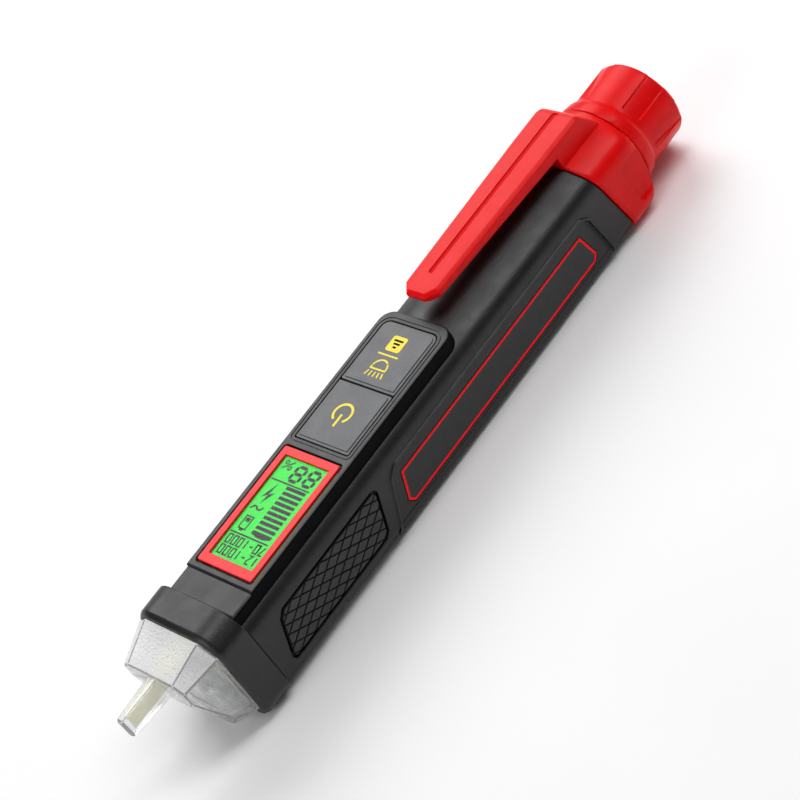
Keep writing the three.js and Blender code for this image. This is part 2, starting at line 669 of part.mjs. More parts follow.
// An AAA cell from its nub back.
function cell(front) {
  const [nub, nubRadius, shoulder, rim] = [0.9, 1.8, 4.6, 0.3];
  const back = front + CELL_LENGTH;
  return turned([[front, 0], [front, nubRadius], [front + nub, nubRadius], [front + nub, shoulder],
    [front + nub + rim, CELL_RADIUS], [back - rim, CELL_RADIUS], [back, CELL_RADIUS - rim], [back, 0]], 32);
}

// The strip that brings the tail contact's current forward along the cradle's left side.
function returnStrip() {
  const [front, thickness, lipInside] = [CRADLE_FRONT - 0.9, 0.3, -6.2];
  const outside = -CRADLE_HALF - 0.95;
  const run = block(front, STRIP_END, outside, outside + thickness, STRIP_LOW, STRIP_HIGH);
  const lip = block(STRIP_END - CONTACT_THICKNESS, STRIP_END, outside, lipInside, STRIP_LOW, STRIP_HIGH);
  return join(run, lip);
}

add("power", "battery_cradle", batteryCradle(), "body");
add("power", "front_contact", frontContact(), "metal");
add("power", "battery_front", cell(CELL_FRONT), "cell");
add("power", "battery_rear", cell(CELL_FRONT + CELL_LENGTH + 0.2), "cell");
add("power", "return_strip", returnStrip(), "metal");

// ---- tail ----

class Helix extends THREE.Curve {
  constructor(x0, x1, turns, radius0, radius1, phase = 0) {
    super();
    Object.assign(this, { x0, x1, turns, radius0, radius1, phase });
  }

  getPoint(t, target = new THREE.Vector3()) {
    const angle = this.phase + 2 * Math.PI * this.turns * t;
    const radius = THREE.MathUtils.lerp(this.radius0, this.radius1, t);
    return target.set(
      THREE.MathUtils.lerp(this.x0, this.x1, t), radius * Math.cos(angle), radius * Math.sin(angle));
  }
}

// A thread ridge about the battery axis. The right-handed helix climbs one pitch per turn along +x.
function threadRidge(x0, turns, wire, steps) {
  const spiral = new Helix(
    x0, x0 + turns * THREAD_PITCH, turns, THREAD_RADIUS, THREAD_RADIUS, (x0 * 2 * Math.PI) / THREAD_PITCH);
  return swept(spiral, steps, wire, 4);
}

// The collar's skirt follows the body at its front and turns round at its back.
function collarSkirt() {
  const front = 105;
  const back = turned([[front, 0], [front, 16], [120.2, 16], [120.7, 13.6], [122.2, 11.1], [COLLAR_BACK, 10.2],
    [COLLAR_BACK, 0]], 48);
  return alongX(bodyOutline(-FLANGE), front, COLLAR_BACK, 8).intersect(behindSeam(0)).intersect(back);
}

// The clip's boss on the collar falls away behind the clip.
function clipBoss() {
  const [front, back, backTop] = [CLIP_ROOT + CLIP_GAP, 122.2, 10.6];
  return alongY(polygon([[front, BOSS_LOW], [front, CLIP_TOP], [CLIP_BOSS_END, CLIP_TOP], [back, backTop],
    [back, BOSS_LOW]]), -BOSS_HALF, BOSS_HALF);
}

function sideDish(side) {
  const depth = 0.4;
  const outline = polygon([
    [117.3, 3.9], [116.7, 2.6], [118.4, -5.8], [119.2, -6.4], [124, -6.4], [124, 3.9]]);
  return alongY(outline, ...between(side, BODY_HALF + FLANGE - depth, CLEAR));
}

function tailCollar() {
  const socket = alongX(bodyOutline(SOCKET), COLLAR_WEB - CLEAR, COLLAR_WEB);
  const bore = alongX(circle(THREAD_RADIUS + THREAD_CLEARANCE), COLLAR_WEB - CLEAR, CAP_END, 40);
  const sealSeat = alongX(circle(SEAL_SEAT_RADIUS), SEAL_SEAT_FRONT, CAP_END, 40);
  const groove = threadRidge(COLLAR_WEB - THREAD_PITCH, 4, THREAD_WIRE + THREAD_CLEARANCE, 96);
  return cut(join(collarSkirt(), clipBoss()), socket, bore, groove, sealSeat, clipGroove(),
    sideDish(-1), sideDish(1));
}

// The shallow groove along the middle of the clip and its boss.
function clipGroove() {
  return block(CLIP_GROOVE_FRONT, CLIP_BOSS_END - GAP, -CLIP_GROOVE_HALF, CLIP_GROOVE_HALF,
    CLIP_TOP - CLIP_GROOVE_DEPTH, CLEAR);
}

function pocketClip() {
  const plan = polygon([
    [CLIP_ROOT, -CLIP_ROOT_HALF], [CLIP_ROOT, CLIP_ROOT_HALF], [CLIP_SHOULDER, CLIP_SHOULDER_HALF],
    [CLIP_TIP, CLIP_TIP_HALF], [CLIP_TIP, -CLIP_TIP_HALF], [CLIP_SHOULDER, -CLIP_SHOULDER_HALF]]);
  const [tipRise, tipRun] = [0.5, 0.8];
  const side = polygon([
    [CLIP_TIP, CLIP_TOP], [CLIP_TIP, CLIP_TIP_LOW + tipRise], [CLIP_TIP + tipRun, CLIP_TIP_LOW],
    [CLIP_ROOT, CLIP_ROOT_LOW], [CLIP_ROOT, CLIP_TOP]]);
  return cut(alongZ(plan, 0, CLEAR).intersect(alongY(side, -CLEAR, CLEAR)), clipGroove());
}

function knobRecess(start, end) {
  const [low, high] = [start, end].map(THREE.MathUtils.degToRad);
  const sector = new THREE.Shape()
    .absarc(0, 0, CLEAR, low, high)
    .absarc(0, 0, KNOB_RADIUS - KNOB_RECESS_DEPTH, high, low, true);
  return alongX(sector, KNOB_RECESS_FRONT, CAP_END + 1, 4);
}

// Two recesses a third of a turn, with a narrow rib between them and a broad one beyond. Angles are
// in degrees from +y towards +z.
function knobRecesses() {
  return [0, 120, 240].flatMap((turn) => RECESS_STARTS.map((start) =>
    knobRecess(start + turn, start + turn + RECESS_SPAN)));
}

function tailCap() {
  const chamfer = 0.3;
  const [flangeFront, flangeBack] = [10.2, 9.65]; // radii
  const outside = turned([
    [SPIGOT_FRONT, CAP_BORE], [SPIGOT_FRONT, SPIGOT_RADIUS - chamfer], [SPIGOT_FRONT + chamfer, SPIGOT_RADIUS],
    [CAP_FLANGE_FRONT, SPIGOT_RADIUS], [CAP_FLANGE_FRONT, flangeFront - chamfer / 2],
    [CAP_FLANGE_FRONT + chamfer, flangeFront], [CAP_FLANGE_BACK, flangeBack],
    [CAP_FLANGE_BACK + chamfer, KNOB_RADIUS], [CAP_END - 2 * chamfer, KNOB_RADIUS - 0.1],
    [CAP_END, KNOB_RADIUS - 2 * chamfer], [CAP_END, 0], [CAP_BORE_END, 0], [CAP_BORE_END, CAP_BORE]], 48);
  const ridge = threadRidge(SPIGOT_FRONT + 0.9, THREAD_TURNS, THREAD_WIRE, 36);
  return cut(join(outside, ridge), ...knobRecesses());
}

// An O-ring on the spigot, against the flange.
function capSeal() {
  const sides = 8;
  const middle = CAP_FLANGE_FRONT - SEAL_WIRE - 0.25;
  const profile = Array.from({ length: sides }, (_, i) => {
    const angle = (2 * Math.PI * i) / sides;
    return [middle + SEAL_WIRE * Math.cos(angle), SEAL_RING_RADIUS + SEAL_WIRE * Math.sin(angle)];
  });
  return turned(profile, 32);
}

// A coil that widens from the rear cell to the cap contact.
function batterySpring() {
  const [turns, frontRadius, backRadius, wire] = [3.5, 2.2, 4.2, 0.32];
  const front = CELL_FRONT + 2 * CELL_LENGTH + 0.8;
  const coil = new Helix(front, CAP_CONTACT_X - 0.4, turns, frontRadius, backRadius);
  return swept(coil, 12 * turns, wire, 3);
}

function capContact() {
  return alongX(circle(CAP_BORE - 0.4), CAP_CONTACT_X, CAP_CONTACT_X + CONTACT_THICKNESS, 24);
}

add("tail", "tail_collar", tailCollar(), "red");
add("tail", "pocket_clip", pocketClip(), "red");
add("tail", "tail_cap", tailCap(), "red");
add("tail", "cap_seal", capSeal(), "rubber");
add("tail", "cap_contact", capContact(), "metal");
add("tail", "battery_spring", batterySpring(), "metal");

export default tester;
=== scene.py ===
import math

import bmesh
import bpy
from mathutils import Matrix, Vector


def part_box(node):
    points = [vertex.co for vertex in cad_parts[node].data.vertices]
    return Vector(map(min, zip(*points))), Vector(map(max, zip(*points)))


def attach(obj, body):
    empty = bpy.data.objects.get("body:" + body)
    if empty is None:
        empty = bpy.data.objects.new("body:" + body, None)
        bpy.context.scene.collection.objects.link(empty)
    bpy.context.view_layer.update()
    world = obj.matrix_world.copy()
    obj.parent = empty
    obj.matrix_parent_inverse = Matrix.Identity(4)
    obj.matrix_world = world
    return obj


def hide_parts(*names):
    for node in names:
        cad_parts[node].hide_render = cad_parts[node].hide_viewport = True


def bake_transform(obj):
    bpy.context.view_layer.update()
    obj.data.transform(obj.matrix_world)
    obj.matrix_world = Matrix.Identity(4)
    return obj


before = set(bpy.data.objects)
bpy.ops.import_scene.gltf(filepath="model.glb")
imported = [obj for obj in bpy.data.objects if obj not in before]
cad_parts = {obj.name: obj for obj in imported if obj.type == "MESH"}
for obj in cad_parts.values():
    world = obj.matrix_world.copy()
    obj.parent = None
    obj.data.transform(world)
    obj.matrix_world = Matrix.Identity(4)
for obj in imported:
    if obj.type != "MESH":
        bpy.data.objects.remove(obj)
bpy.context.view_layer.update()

# A non-contact voltage tester lying on its back. Shapes are built in pen millimetres: x runs from
# the front of the nose band towards the tail, y is across the pen, z is up to the display, and the
# battery axis is y = 0, z = 0. settle() then puts each piece into the row frame, in metres.

MM = 0.001
CELL_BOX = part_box("battery_front")
PEN_ORIGIN = Vector((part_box("nose_band")[0].x, 0, (CELL_BOX[0].z + CELL_BOX[1].z) / 2))
TO_ROW = Matrix.Translation(PEN_ORIGIN) @ Matrix.Scale(MM, 4)


def pen_box(node):
    """(lowest corner, highest corner) of a CAD node in pen millimetres."""
    low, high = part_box(node)
    return (low - PEN_ORIGIN) / MM, (high - PEN_ORIGIN) / MM


for startup_object in ("Cube", "Light", "Camera"):
    if startup_object in bpy.data.objects:
        bpy.data.objects.remove(bpy.data.objects[startup_object])

# ---- dimensions, from the frame ----

BAND_LOW, BAND_HIGH = pen_box("nose_band")
BODY_FRONT = pen_box("main_housing")[0].x
COVER_LOW, COVER_HIGH = pen_box("back_cover")
BEZEL_LOW, BEZEL_HIGH = pen_box("display_bezel")
RIM_LOW, RIM_HIGH = pen_box("display_frame")
PANE_LOW, PANE_HIGH = pen_box("display_window")
LCD_LOW, LCD_HIGH = pen_box("lcd_cell")
POWER_LOW, POWER_HIGH = pen_box("power_key")
LIGHT_LOW, LIGHT_HIGH = pen_box("light_key")
CLIP_LOW, CLIP_HIGH = pen_box("pocket_clip")
COLLAR_BACK = pen_box("tail_collar")[1].x
CAP_LOW, CAP_HIGH = pen_box("tail_cap")
SEAL_LOW, SEAL_HIGH = pen_box("cap_seal")
LAMP_LOW, LAMP_HIGH = pen_box("torch_led")

SEAM = 0.12
WALL = 1.5
FLANGE = 0.5  # how far the band and the collar stand proud of the body
SOCKET = 1  # inset of their sockets from the body's outline

BODY_HALF = COVER_HIGH.y
BODY_FLOOR = COVER_LOW.z
BODY_CROWN = 9.9
BODY_CORNER = 3
ARCH_HALF = 8.2
ARCH_DROP = 2.15
SHOULDER_DROP = 3.75
PARTING_Z = -7.6
COLLAR_FRONT = 112.9
COLLAR_LEAN = 0.245

BEZEL_STEP = 12
BEZEL_HALF = BEZEL_HIGH.y
BEZEL_BACK = BEZEL_HIGH.x
BEZEL_TOP = BEZEL_HIGH.z
APRON_TOP = BEZEL_TOP - 0.4
KEY_HALF = 6.6
KEY_CLEARANCE = 0.2

RECESS_DEPTH = 0.6
RIM_PROUD = 0.28
POCKET_DEPTH = 0.95

CLIP_ROOT = CLIP_HIGH.x
BOSS_HALF = 4.95
BOSS_END = 118.9
GROOVE_FRONT = 78.3
GROOVE_HALF = 0.65
GROOVE_DEPTH = 0.5

FLANGE_FRONT = 123.6
FLANGE_BACK = 126.6
FLANGE_RADIUS = CAP_HIGH.y
KNOB_RADIUS = 9.25
SPIGOT_RADIUS = 6.9
RECESS_STARTS = (123, 170)
RECESS_SPAN = 26
KNOB_RECESS_FRONT = FLANGE_BACK + 1.3


# ---- outlines: lists of (a, b) points ----


def arc(centre, radius, start, end, steps=8):
    """Points on an arc between two angles in degrees, ends included."""
    angles = [math.radians(start + (end - start) * i / steps) for i in range(steps + 1)]
    return [(centre[0] + radius * math.cos(t), centre[1] + radius * math.sin(t)) for t in angles]


def circle(centre, radius, steps):
    return arc(centre, radius, 0, 360, steps)[:-1]


def curve(start, control, end, steps=10):
    """Points on a quadratic curve after its start."""
    points = []
    for i in range(1, steps + 1):
        t = i / steps
        weights = ((1 - t) ** 2, 2 * t * (1 - t), t**2)
        points.append(tuple(sum(w * p[k] for w, p in zip(weights, (start, control, end))) for k in (0, 1)))
    return points


def pairs(points):
    """Each point with the next one round."""
    return zip(points, points[1:] + points[:1])


def triples(points):
    """Each point between its two neighbours."""
    return zip(points[-1:] + points[:-1], points, points[1:] + points[:1])


def area(outline):
    """Positive where the outline runs anticlockwise."""
    return sum(a[0] * b[1] - b[0] * a[1] for a, b in pairs(outline)) / 2


def anticlockwise(outline):
    return outline if area(outline) > 0 else outline[::-1]


def grown(outline, distance):
    """The outline pushed outwards, point for point."""
    moved = []
    for before, here, after in triples([Vector(p) for p in anticlockwise(outline)]):
        ways = (here - before).normalized(), (after - here).normalized()
        normal_a, normal_b = (Vector((way.y, -way.x)) for way in ways)
        moved.append(tuple(here + distance * (normal_a + normal_b) / (1 + normal_a.dot(normal_b))))
    return moved


def rounded(corners, radius, steps=5):
    """A polygon with its corners turned into arcs. A list of radii gives each corner its own."""
    corners = [Vector(c) for c in corners]
    radii = radius if isinstance(radius, (list, tuple)) else [radius] * len(corners)
    points = []
    for (before, here, after), r in zip(triples(corners), radii):
        if r == 0:
            points.append(tuple(here))
            continue
        to_before = (before - here).normalized()
        to_after = (after - here).normalized()
        half_angle = to_before.angle(to_after) / 2
        centre = here + (to_before + to_after).normalized() * r / math.sin(half_angle)
        start = here + to_before * r / math.tan(half_angle) - centre
        end = here + to_after * r / math.tan(half_angle) - centre
        first = math.atan2(start.y, start.x)
        turn = (math.atan2(end.y, end.x) - first + math.pi) % (2 * math.pi) - math.pi
        for i in range(steps + 1):
            angle = first + turn * i / steps
            points.append((centre.x + r * math.cos(angle), centre.y + r * math.sin(angle)))
    return points


def growing(corners, radius, steps=5):
    """A convex outline as a function of growth: its sharp corners move out, then they are rounded."""
    radii = radius if isinstance(radius, (list, tuple)) else [radius] * len(corners)
    if anticlockwise(corners) != corners:
        corners, radii = corners[::-1], radii[::-1]
    least = 0.02
    return lambda growth: rounded(grown(corners, growth), [max(r + growth, least) for r in radii], steps)


def rectangle(x0, x1, y0, y1, radius=0.0):
    corners = [(x0, y0), (x1, y0), (x1, y1), (x0, y1)]
    return rounded(corners, radius) if radius else corners


def body_section(inset):
    """The body's section in (y, z): flat base, upright sides, arched top."""
    half = BODY_HALF - inset
    floor = BODY_FLOOR + inset
    crown = BODY_CROWN - inset
    corner = BODY_CORNER - inset
    arch = ARCH_HALF - 0.75 * inset
    drop = ARCH_DROP * (arch / ARCH_HALF) ** 2
    arch_end = crown - drop
    shoulder = arch_end - (2 * drop / arch) * (half - arch)
    side_top = arch_end - SHOULDER_DROP
    return [
        *arc((corner - half, floor + corner), corner, 180, 270),
        *arc((half - corner, floor + corner), corner, 270, 360),
        (half, side_top),
        *curve((half, side_top), (half, shoulder), (arch, arch_end), 12),
        *curve((arch, arch_end), (0, 2 * crown - arch_end), (-arch, arch_end), 24),
        *curve((-arch, arch_end), (-half, shoulder), (-half, side_top), 12),
    ]


def band_section(inset):
    """The nose band's section in (y, z): flat top with broad chamfers, round lower corners."""
    half = BAND_HIGH.y - inset
    corner = BODY_CORNER + FLANGE - inset
    low = BAND_LOW.z + inset
    top = BAND_HIGH.z - inset
    flat = 7.6 - 0.4 * inset
    side = 9.3 - 0.6 * inset
    corners = [(-half, low), (half, low), (half, side), (flat, top), (-flat, top), (-half, side)]
    return rounded(corners, [corner, corner, 3.5, 6, 6, 3.5], 8)


def side_recess():
    corners = [(39.4, -12), (40.4, -9), (44.5, 2), (46.4, 3.4), (104.4, 3.5), (106.1, 2), (107.7, -6),
               (108.8, -12)]
    return rounded(corners, [0, 4, 1.2, 1.2, 1, 1, 4, 0])


def label_outline():
    return growing([(44.9, -5.5), (46.1, -7), (103.6, -7), (104.9, -5.6), (103.1, 0.7), (46.8, 0.7)], 0.35, 3)


def grip_outline():
    """The side grip's outline: its ends lean towards the nose at the base."""
    lean = 0.3
    low, high = -6.5, 4
    front, back = 12.9, 41.2
    plan = [(front, low + 1.2), (front + 0.9, low), (back - 0.9, low), (back, low + 1.2), (back, high - 1.4),
            (back - 1.1, high), (front + 1.1, high), (front, high - 1.4)]
    return rounded([(x + lean * (z - high), z) for x, z in plan], 0.7, 3)


# ---- meshes ----


def placed(name, data):
    obj = bpy.data.objects.new(name, data)
    bpy.context.scene.collection.objects.link(obj)
    return obj


def from_form(name, form):
    """An object from a bmesh, which is used up."""
    bmesh.ops.recalc_face_normals(form, faces=form.faces)
    mesh = bpy.data.meshes.new(name)
    form.to_mesh(mesh)
    form.free()
    return placed(name, mesh)


def new_object(name, vertices, faces):
    form = bmesh.new()
    corners = [form.verts.new(v) for v in vertices]
    for face in faces:
        form.faces.new([corners[i] for i in face])
    bmesh.ops.remove_doubles(form, verts=form.verts, dist=1e-4)
    return from_form(name, form)


def loft(name, rings, looped=False):
    """A skin over rings of points. Its ends are capped, or it closes on itself if looped."""
    count = len(rings[0])
    vertices = [p for ring in rings for p in ring]
    faces = []
    for i in range(len(rings) if looped else len(rings) - 1):
        here, there = i * count, (i + 1) % len(rings) * count
        for j in range(count):
            k = (j + 1) % count
            faces.append((here + j, here + k, there + k, there + j))
    if not looped:
        faces.append(range(count))
        faces.append(range(len(vertices) - count, len(vertices)))
    return new_object(name, vertices, faces)


PLACE = {
    "x": lambda a, b, level: (level, a, b),
    "y": lambda a, b, level: (a, level, b),
    "z": lambda a, b, level: (a, b, level),
}


def stack(name, axis, outline, steps):
    """A solid along an axis, from an outline in the other two and (growth, level) steps."""
    at = outline if callable(outline) else lambda growth: grown(outline, growth)
    return loft(name, [[PLACE[axis](a, b, level) for a, b in at(growth)] for growth, level in steps])


def fillet(radius, steps=4):
    """Round an edge from the wall to the face: (distance short of the face, distance in from the wall)."""
    angles = [math.pi / 2 * i / steps for i in range(steps + 1)]
    return [(radius * (1 - math.sin(t)), radius * (1 - math.cos(t))) for t in angles]


def edge(level, radius, way, base=0.0):
    """Steps round an outer edge, from the wall to the face at level; way is +1 for a face on top."""
    return [(base - inset, level - way * short) for short, inset in fillet(radius)]


def mouth(level, radius, base=0.0):
    """Steps for a cutter that leaves a round rim where it comes out of a top face at level."""
    return [(base + inset, level - short) for short, inset in fillet(radius)]


def sideways(name, side, outline, steps):
    """A stack out from the pen's middle to one side, from steps of (growth, distance from the middle)."""
    return stack(name, "y", outline, [(growth, side * distance) for growth, distance in steps])


def slab(name, axis, outline, low, high, low_radius=0.0, high_radius=0.0, base=0.0):
    """A plate with round edges, its outline grown by base."""
    steps = [(base, low), (base, high)]
    if low_radius:
        steps[:1] = edge(low, low_radius, -1, base)[::-1]
    if high_radius:
        steps[-1:] = edge(high, high_radius, 1, base)
    return stack(name, axis, outline, steps)


def block(name, x0, x1, y0, y1, z0, z1):
    return stack(name, "z", rectangle(x0, x1, y0, y1), [(0, z0), (0, z1)])


def turned(name, profile, segments):
    """A closed solid of revolution about the battery axis, from a closed (x, radius) profile."""
    rings = []
    for i in range(segments):
        t = 2 * math.pi * i / segments
        rings.append([(x, r * math.cos(t), r * math.sin(t)) for x, r in profile])
    return loft(name, rings, looped=True)


def bake_modifiers(obj):
    graph = bpy.context.evaluated_depsgraph_get()
    made = bpy.data.meshes.new_from_object(obj.evaluated_get(graph))
    old = obj.data
    obj.modifiers.clear()
    obj.data = made
    bpy.data.meshes.remove(old)


def boolean(obj, operation, tools):
    for tool in tools:
        step = obj.modifiers.new(operation, "BOOLEAN")
        step.operation = operation
        step.solver = "MANIFOLD"
        step.object = tool
        bake_modifiers(obj)
        bpy.data.objects.remove(tool)
    return obj


def cut(obj, *tools):
    return boolean(obj, "DIFFERENCE", tools)


def unite(obj, *others):
    return boolean(obj, "UNION", others)


def soften(obj, width, segments, angle):
    """Rounds the edges that are sharper than an angle in degrees."""
    step = obj.modifiers.new("soften", "BEVEL")
    step.width = width
    step.segments = segments
    step.angle_limit = math.radians(angle)
    bake_modifiers(obj)
    return obj


def joined(obj, *others):
    """Puts the others' faces into obj without a boolean: separate islands of one piece."""
    form = bmesh.new()
    form.from_mesh(obj.data)
    for other in others:
        form.from_mesh(other.data)
        bpy.data.objects.remove(other)
    form.to_mesh(obj.data)
    form.free()
    return obj


def slice_across(obj, places):
    """Adds edge loops across the piece at places along x, so that it can bend there."""
    form = bmesh.new()
    form.from_mesh(obj.data)
    for x in places:
        parts = form.verts[:] + form.edges[:] + form.faces[:]
        bmesh.ops.bisect_plane(form, geom=parts, plane_co=(x, 0, 0), plane_no=(1, 0, 0), dist=1e-4)
    form.to_mesh(obj.data)
    form.free()


def duplicate(obj, name):
    return placed(name, obj.data.copy())


def mirrored(obj, name):
    """A copy on the other side of the pen."""
    copy = duplicate(obj, name)
    copy.data.transform(Matrix.Diagonal((1, -1, 1, 1)))
    copy.data.flip_normals()
    return copy


def settle(obj, body, paints, stands_for=(), crease=34):
    """Puts a finished piece into the row frame, shades it, paints it and hands it to its body.
    Paints are names in PAINT with spaces between; a face's material index says which it takes."""
    obj.data.transform(TO_ROW)
    obj.data.shade_smooth()
    obj.data.set_sharp_from_angle(angle=math.radians(crease))
    obj.modifiers.new("weighted", "WEIGHTED_NORMAL").keep_sharp = True
    bake_modifiers(obj)
    paints = [PAINT[name] for name in paints.split()]
    chosen = [min(face.material_index, len(paints) - 1) for face in obj.data.polygons]
    obj.data.materials.clear()
    for paint in paints:
        obj.data.materials.append(paint)
    obj.data.polygons.foreach_set("material_index", chosen)
    if body:
        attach(obj, body)
    if stands_for:
        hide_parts(*stands_for)
    return obj


# ---- materials ----


def srgb(red, green, blue):
    """Linear colour from the 0 to 255 values that a colour picker shows."""
    values = []
    for value in (red, green, blue):
        v = value / 255
        values.append(v / 12.92 if v <= 0.04045 else ((v + 0.055) / 1.055) ** 2.4)
    return (*values, 1.0)


class Finish:
    """A principled material with procedural detail in object coordinates, sizes in millimetres."""

    def __init__(self, name, colour, roughness, **inputs):
        self.name = name
        self.material = bpy.data.materials.new(name)
        self.material.use_nodes = True
        tree = self.material.node_tree
        self.nodes, self.links = tree.nodes, tree.links
        self.shader = self.nodes["Principled BSDF"]
        self.shader.inputs["Base Color"].default_value = colour
        self.shader.inputs["Roughness"].default_value = roughness
        for key, value in inputs.items():
            self.shader.inputs[key.replace("_", " ")].default_value = value
        self.colour, self.roughness = colour, roughness
        self.place = self.nodes.new("ShaderNodeTexCoord").outputs["Object"]
        self.bumped = None

    def noise(self, size, detail=2.0):
        node = self.nodes.new("ShaderNodeTexNoise")
        node.inputs["Scale"].default_value = 1 / (size * MM)
        node.inputs["Detail"].default_value = detail
        self.links.new(self.place, node.inputs["Vector"])
        return node.outputs["Fac"]

    def mottle(self, size, share):
        """Varies the colour by a share of itself, up and down."""
        low = (*(c * (1 - share) for c in self.colour[:3]), 1.0)
        high = (*(min(1, c * (1 + share)) for c in self.colour[:3]), 1.0)
        noise = self.noise(size, 3.0)
        node = self.nodes.new("ShaderNodeValToRGB")
        for stop, position, colour in zip(node.color_ramp.elements, (0.35, 0.65), (low, high)):
            stop.position = position
            stop.color = colour
        self.links.new(noise, node.inputs["Fac"])
        self.links.new(node.outputs["Color"], self.shader.inputs["Base Color"])
        return self

    def cloud(self, size, change):
        """Varies the roughness."""
        noise = self.noise(size)
        node = self.nodes.new("ShaderNodeMapRange")
        low, high = self.roughness - change, self.roughness + change
        for name, limit in {"From Min": 0.3, "From Max": 0.7, "To Min": low, "To Max": high}.items():
            node.inputs[name].default_value = limit
        self.links.new(noise, node.inputs["Value"])
        self.links.new(node.outputs["Result"], self.shader.inputs["Roughness"])
        return self

    def bump(self, height, depth, strength):
        node = self.nodes.new("ShaderNodeBump")
        node.inputs["Distance"].default_value = depth * MM
        node.inputs["Strength"].default_value = strength
        self.links.new(height, node.inputs["Height"])
        if self.bumped:
            self.links.new(self.bumped, node.inputs["Normal"])
        self.bumped = node.outputs["Normal"]
        self.links.new(self.bumped, self.shader.inputs["Normal"])
        return self

    def grain(self, size, depth, strength=1.0):
        """A fine uneven surface."""
        return self.bump(self.noise(size), depth, strength)

    def cells(self, size, depth, strength):
        """A pebbled surface."""
        node = self.nodes.new("ShaderNodeTexVoronoi")
        node.inputs["Scale"].default_value = 1 / (size * MM)
        self.links.new(self.place, node.inputs["Vector"])
        return self.bump(node.outputs["Distance"], depth, strength)


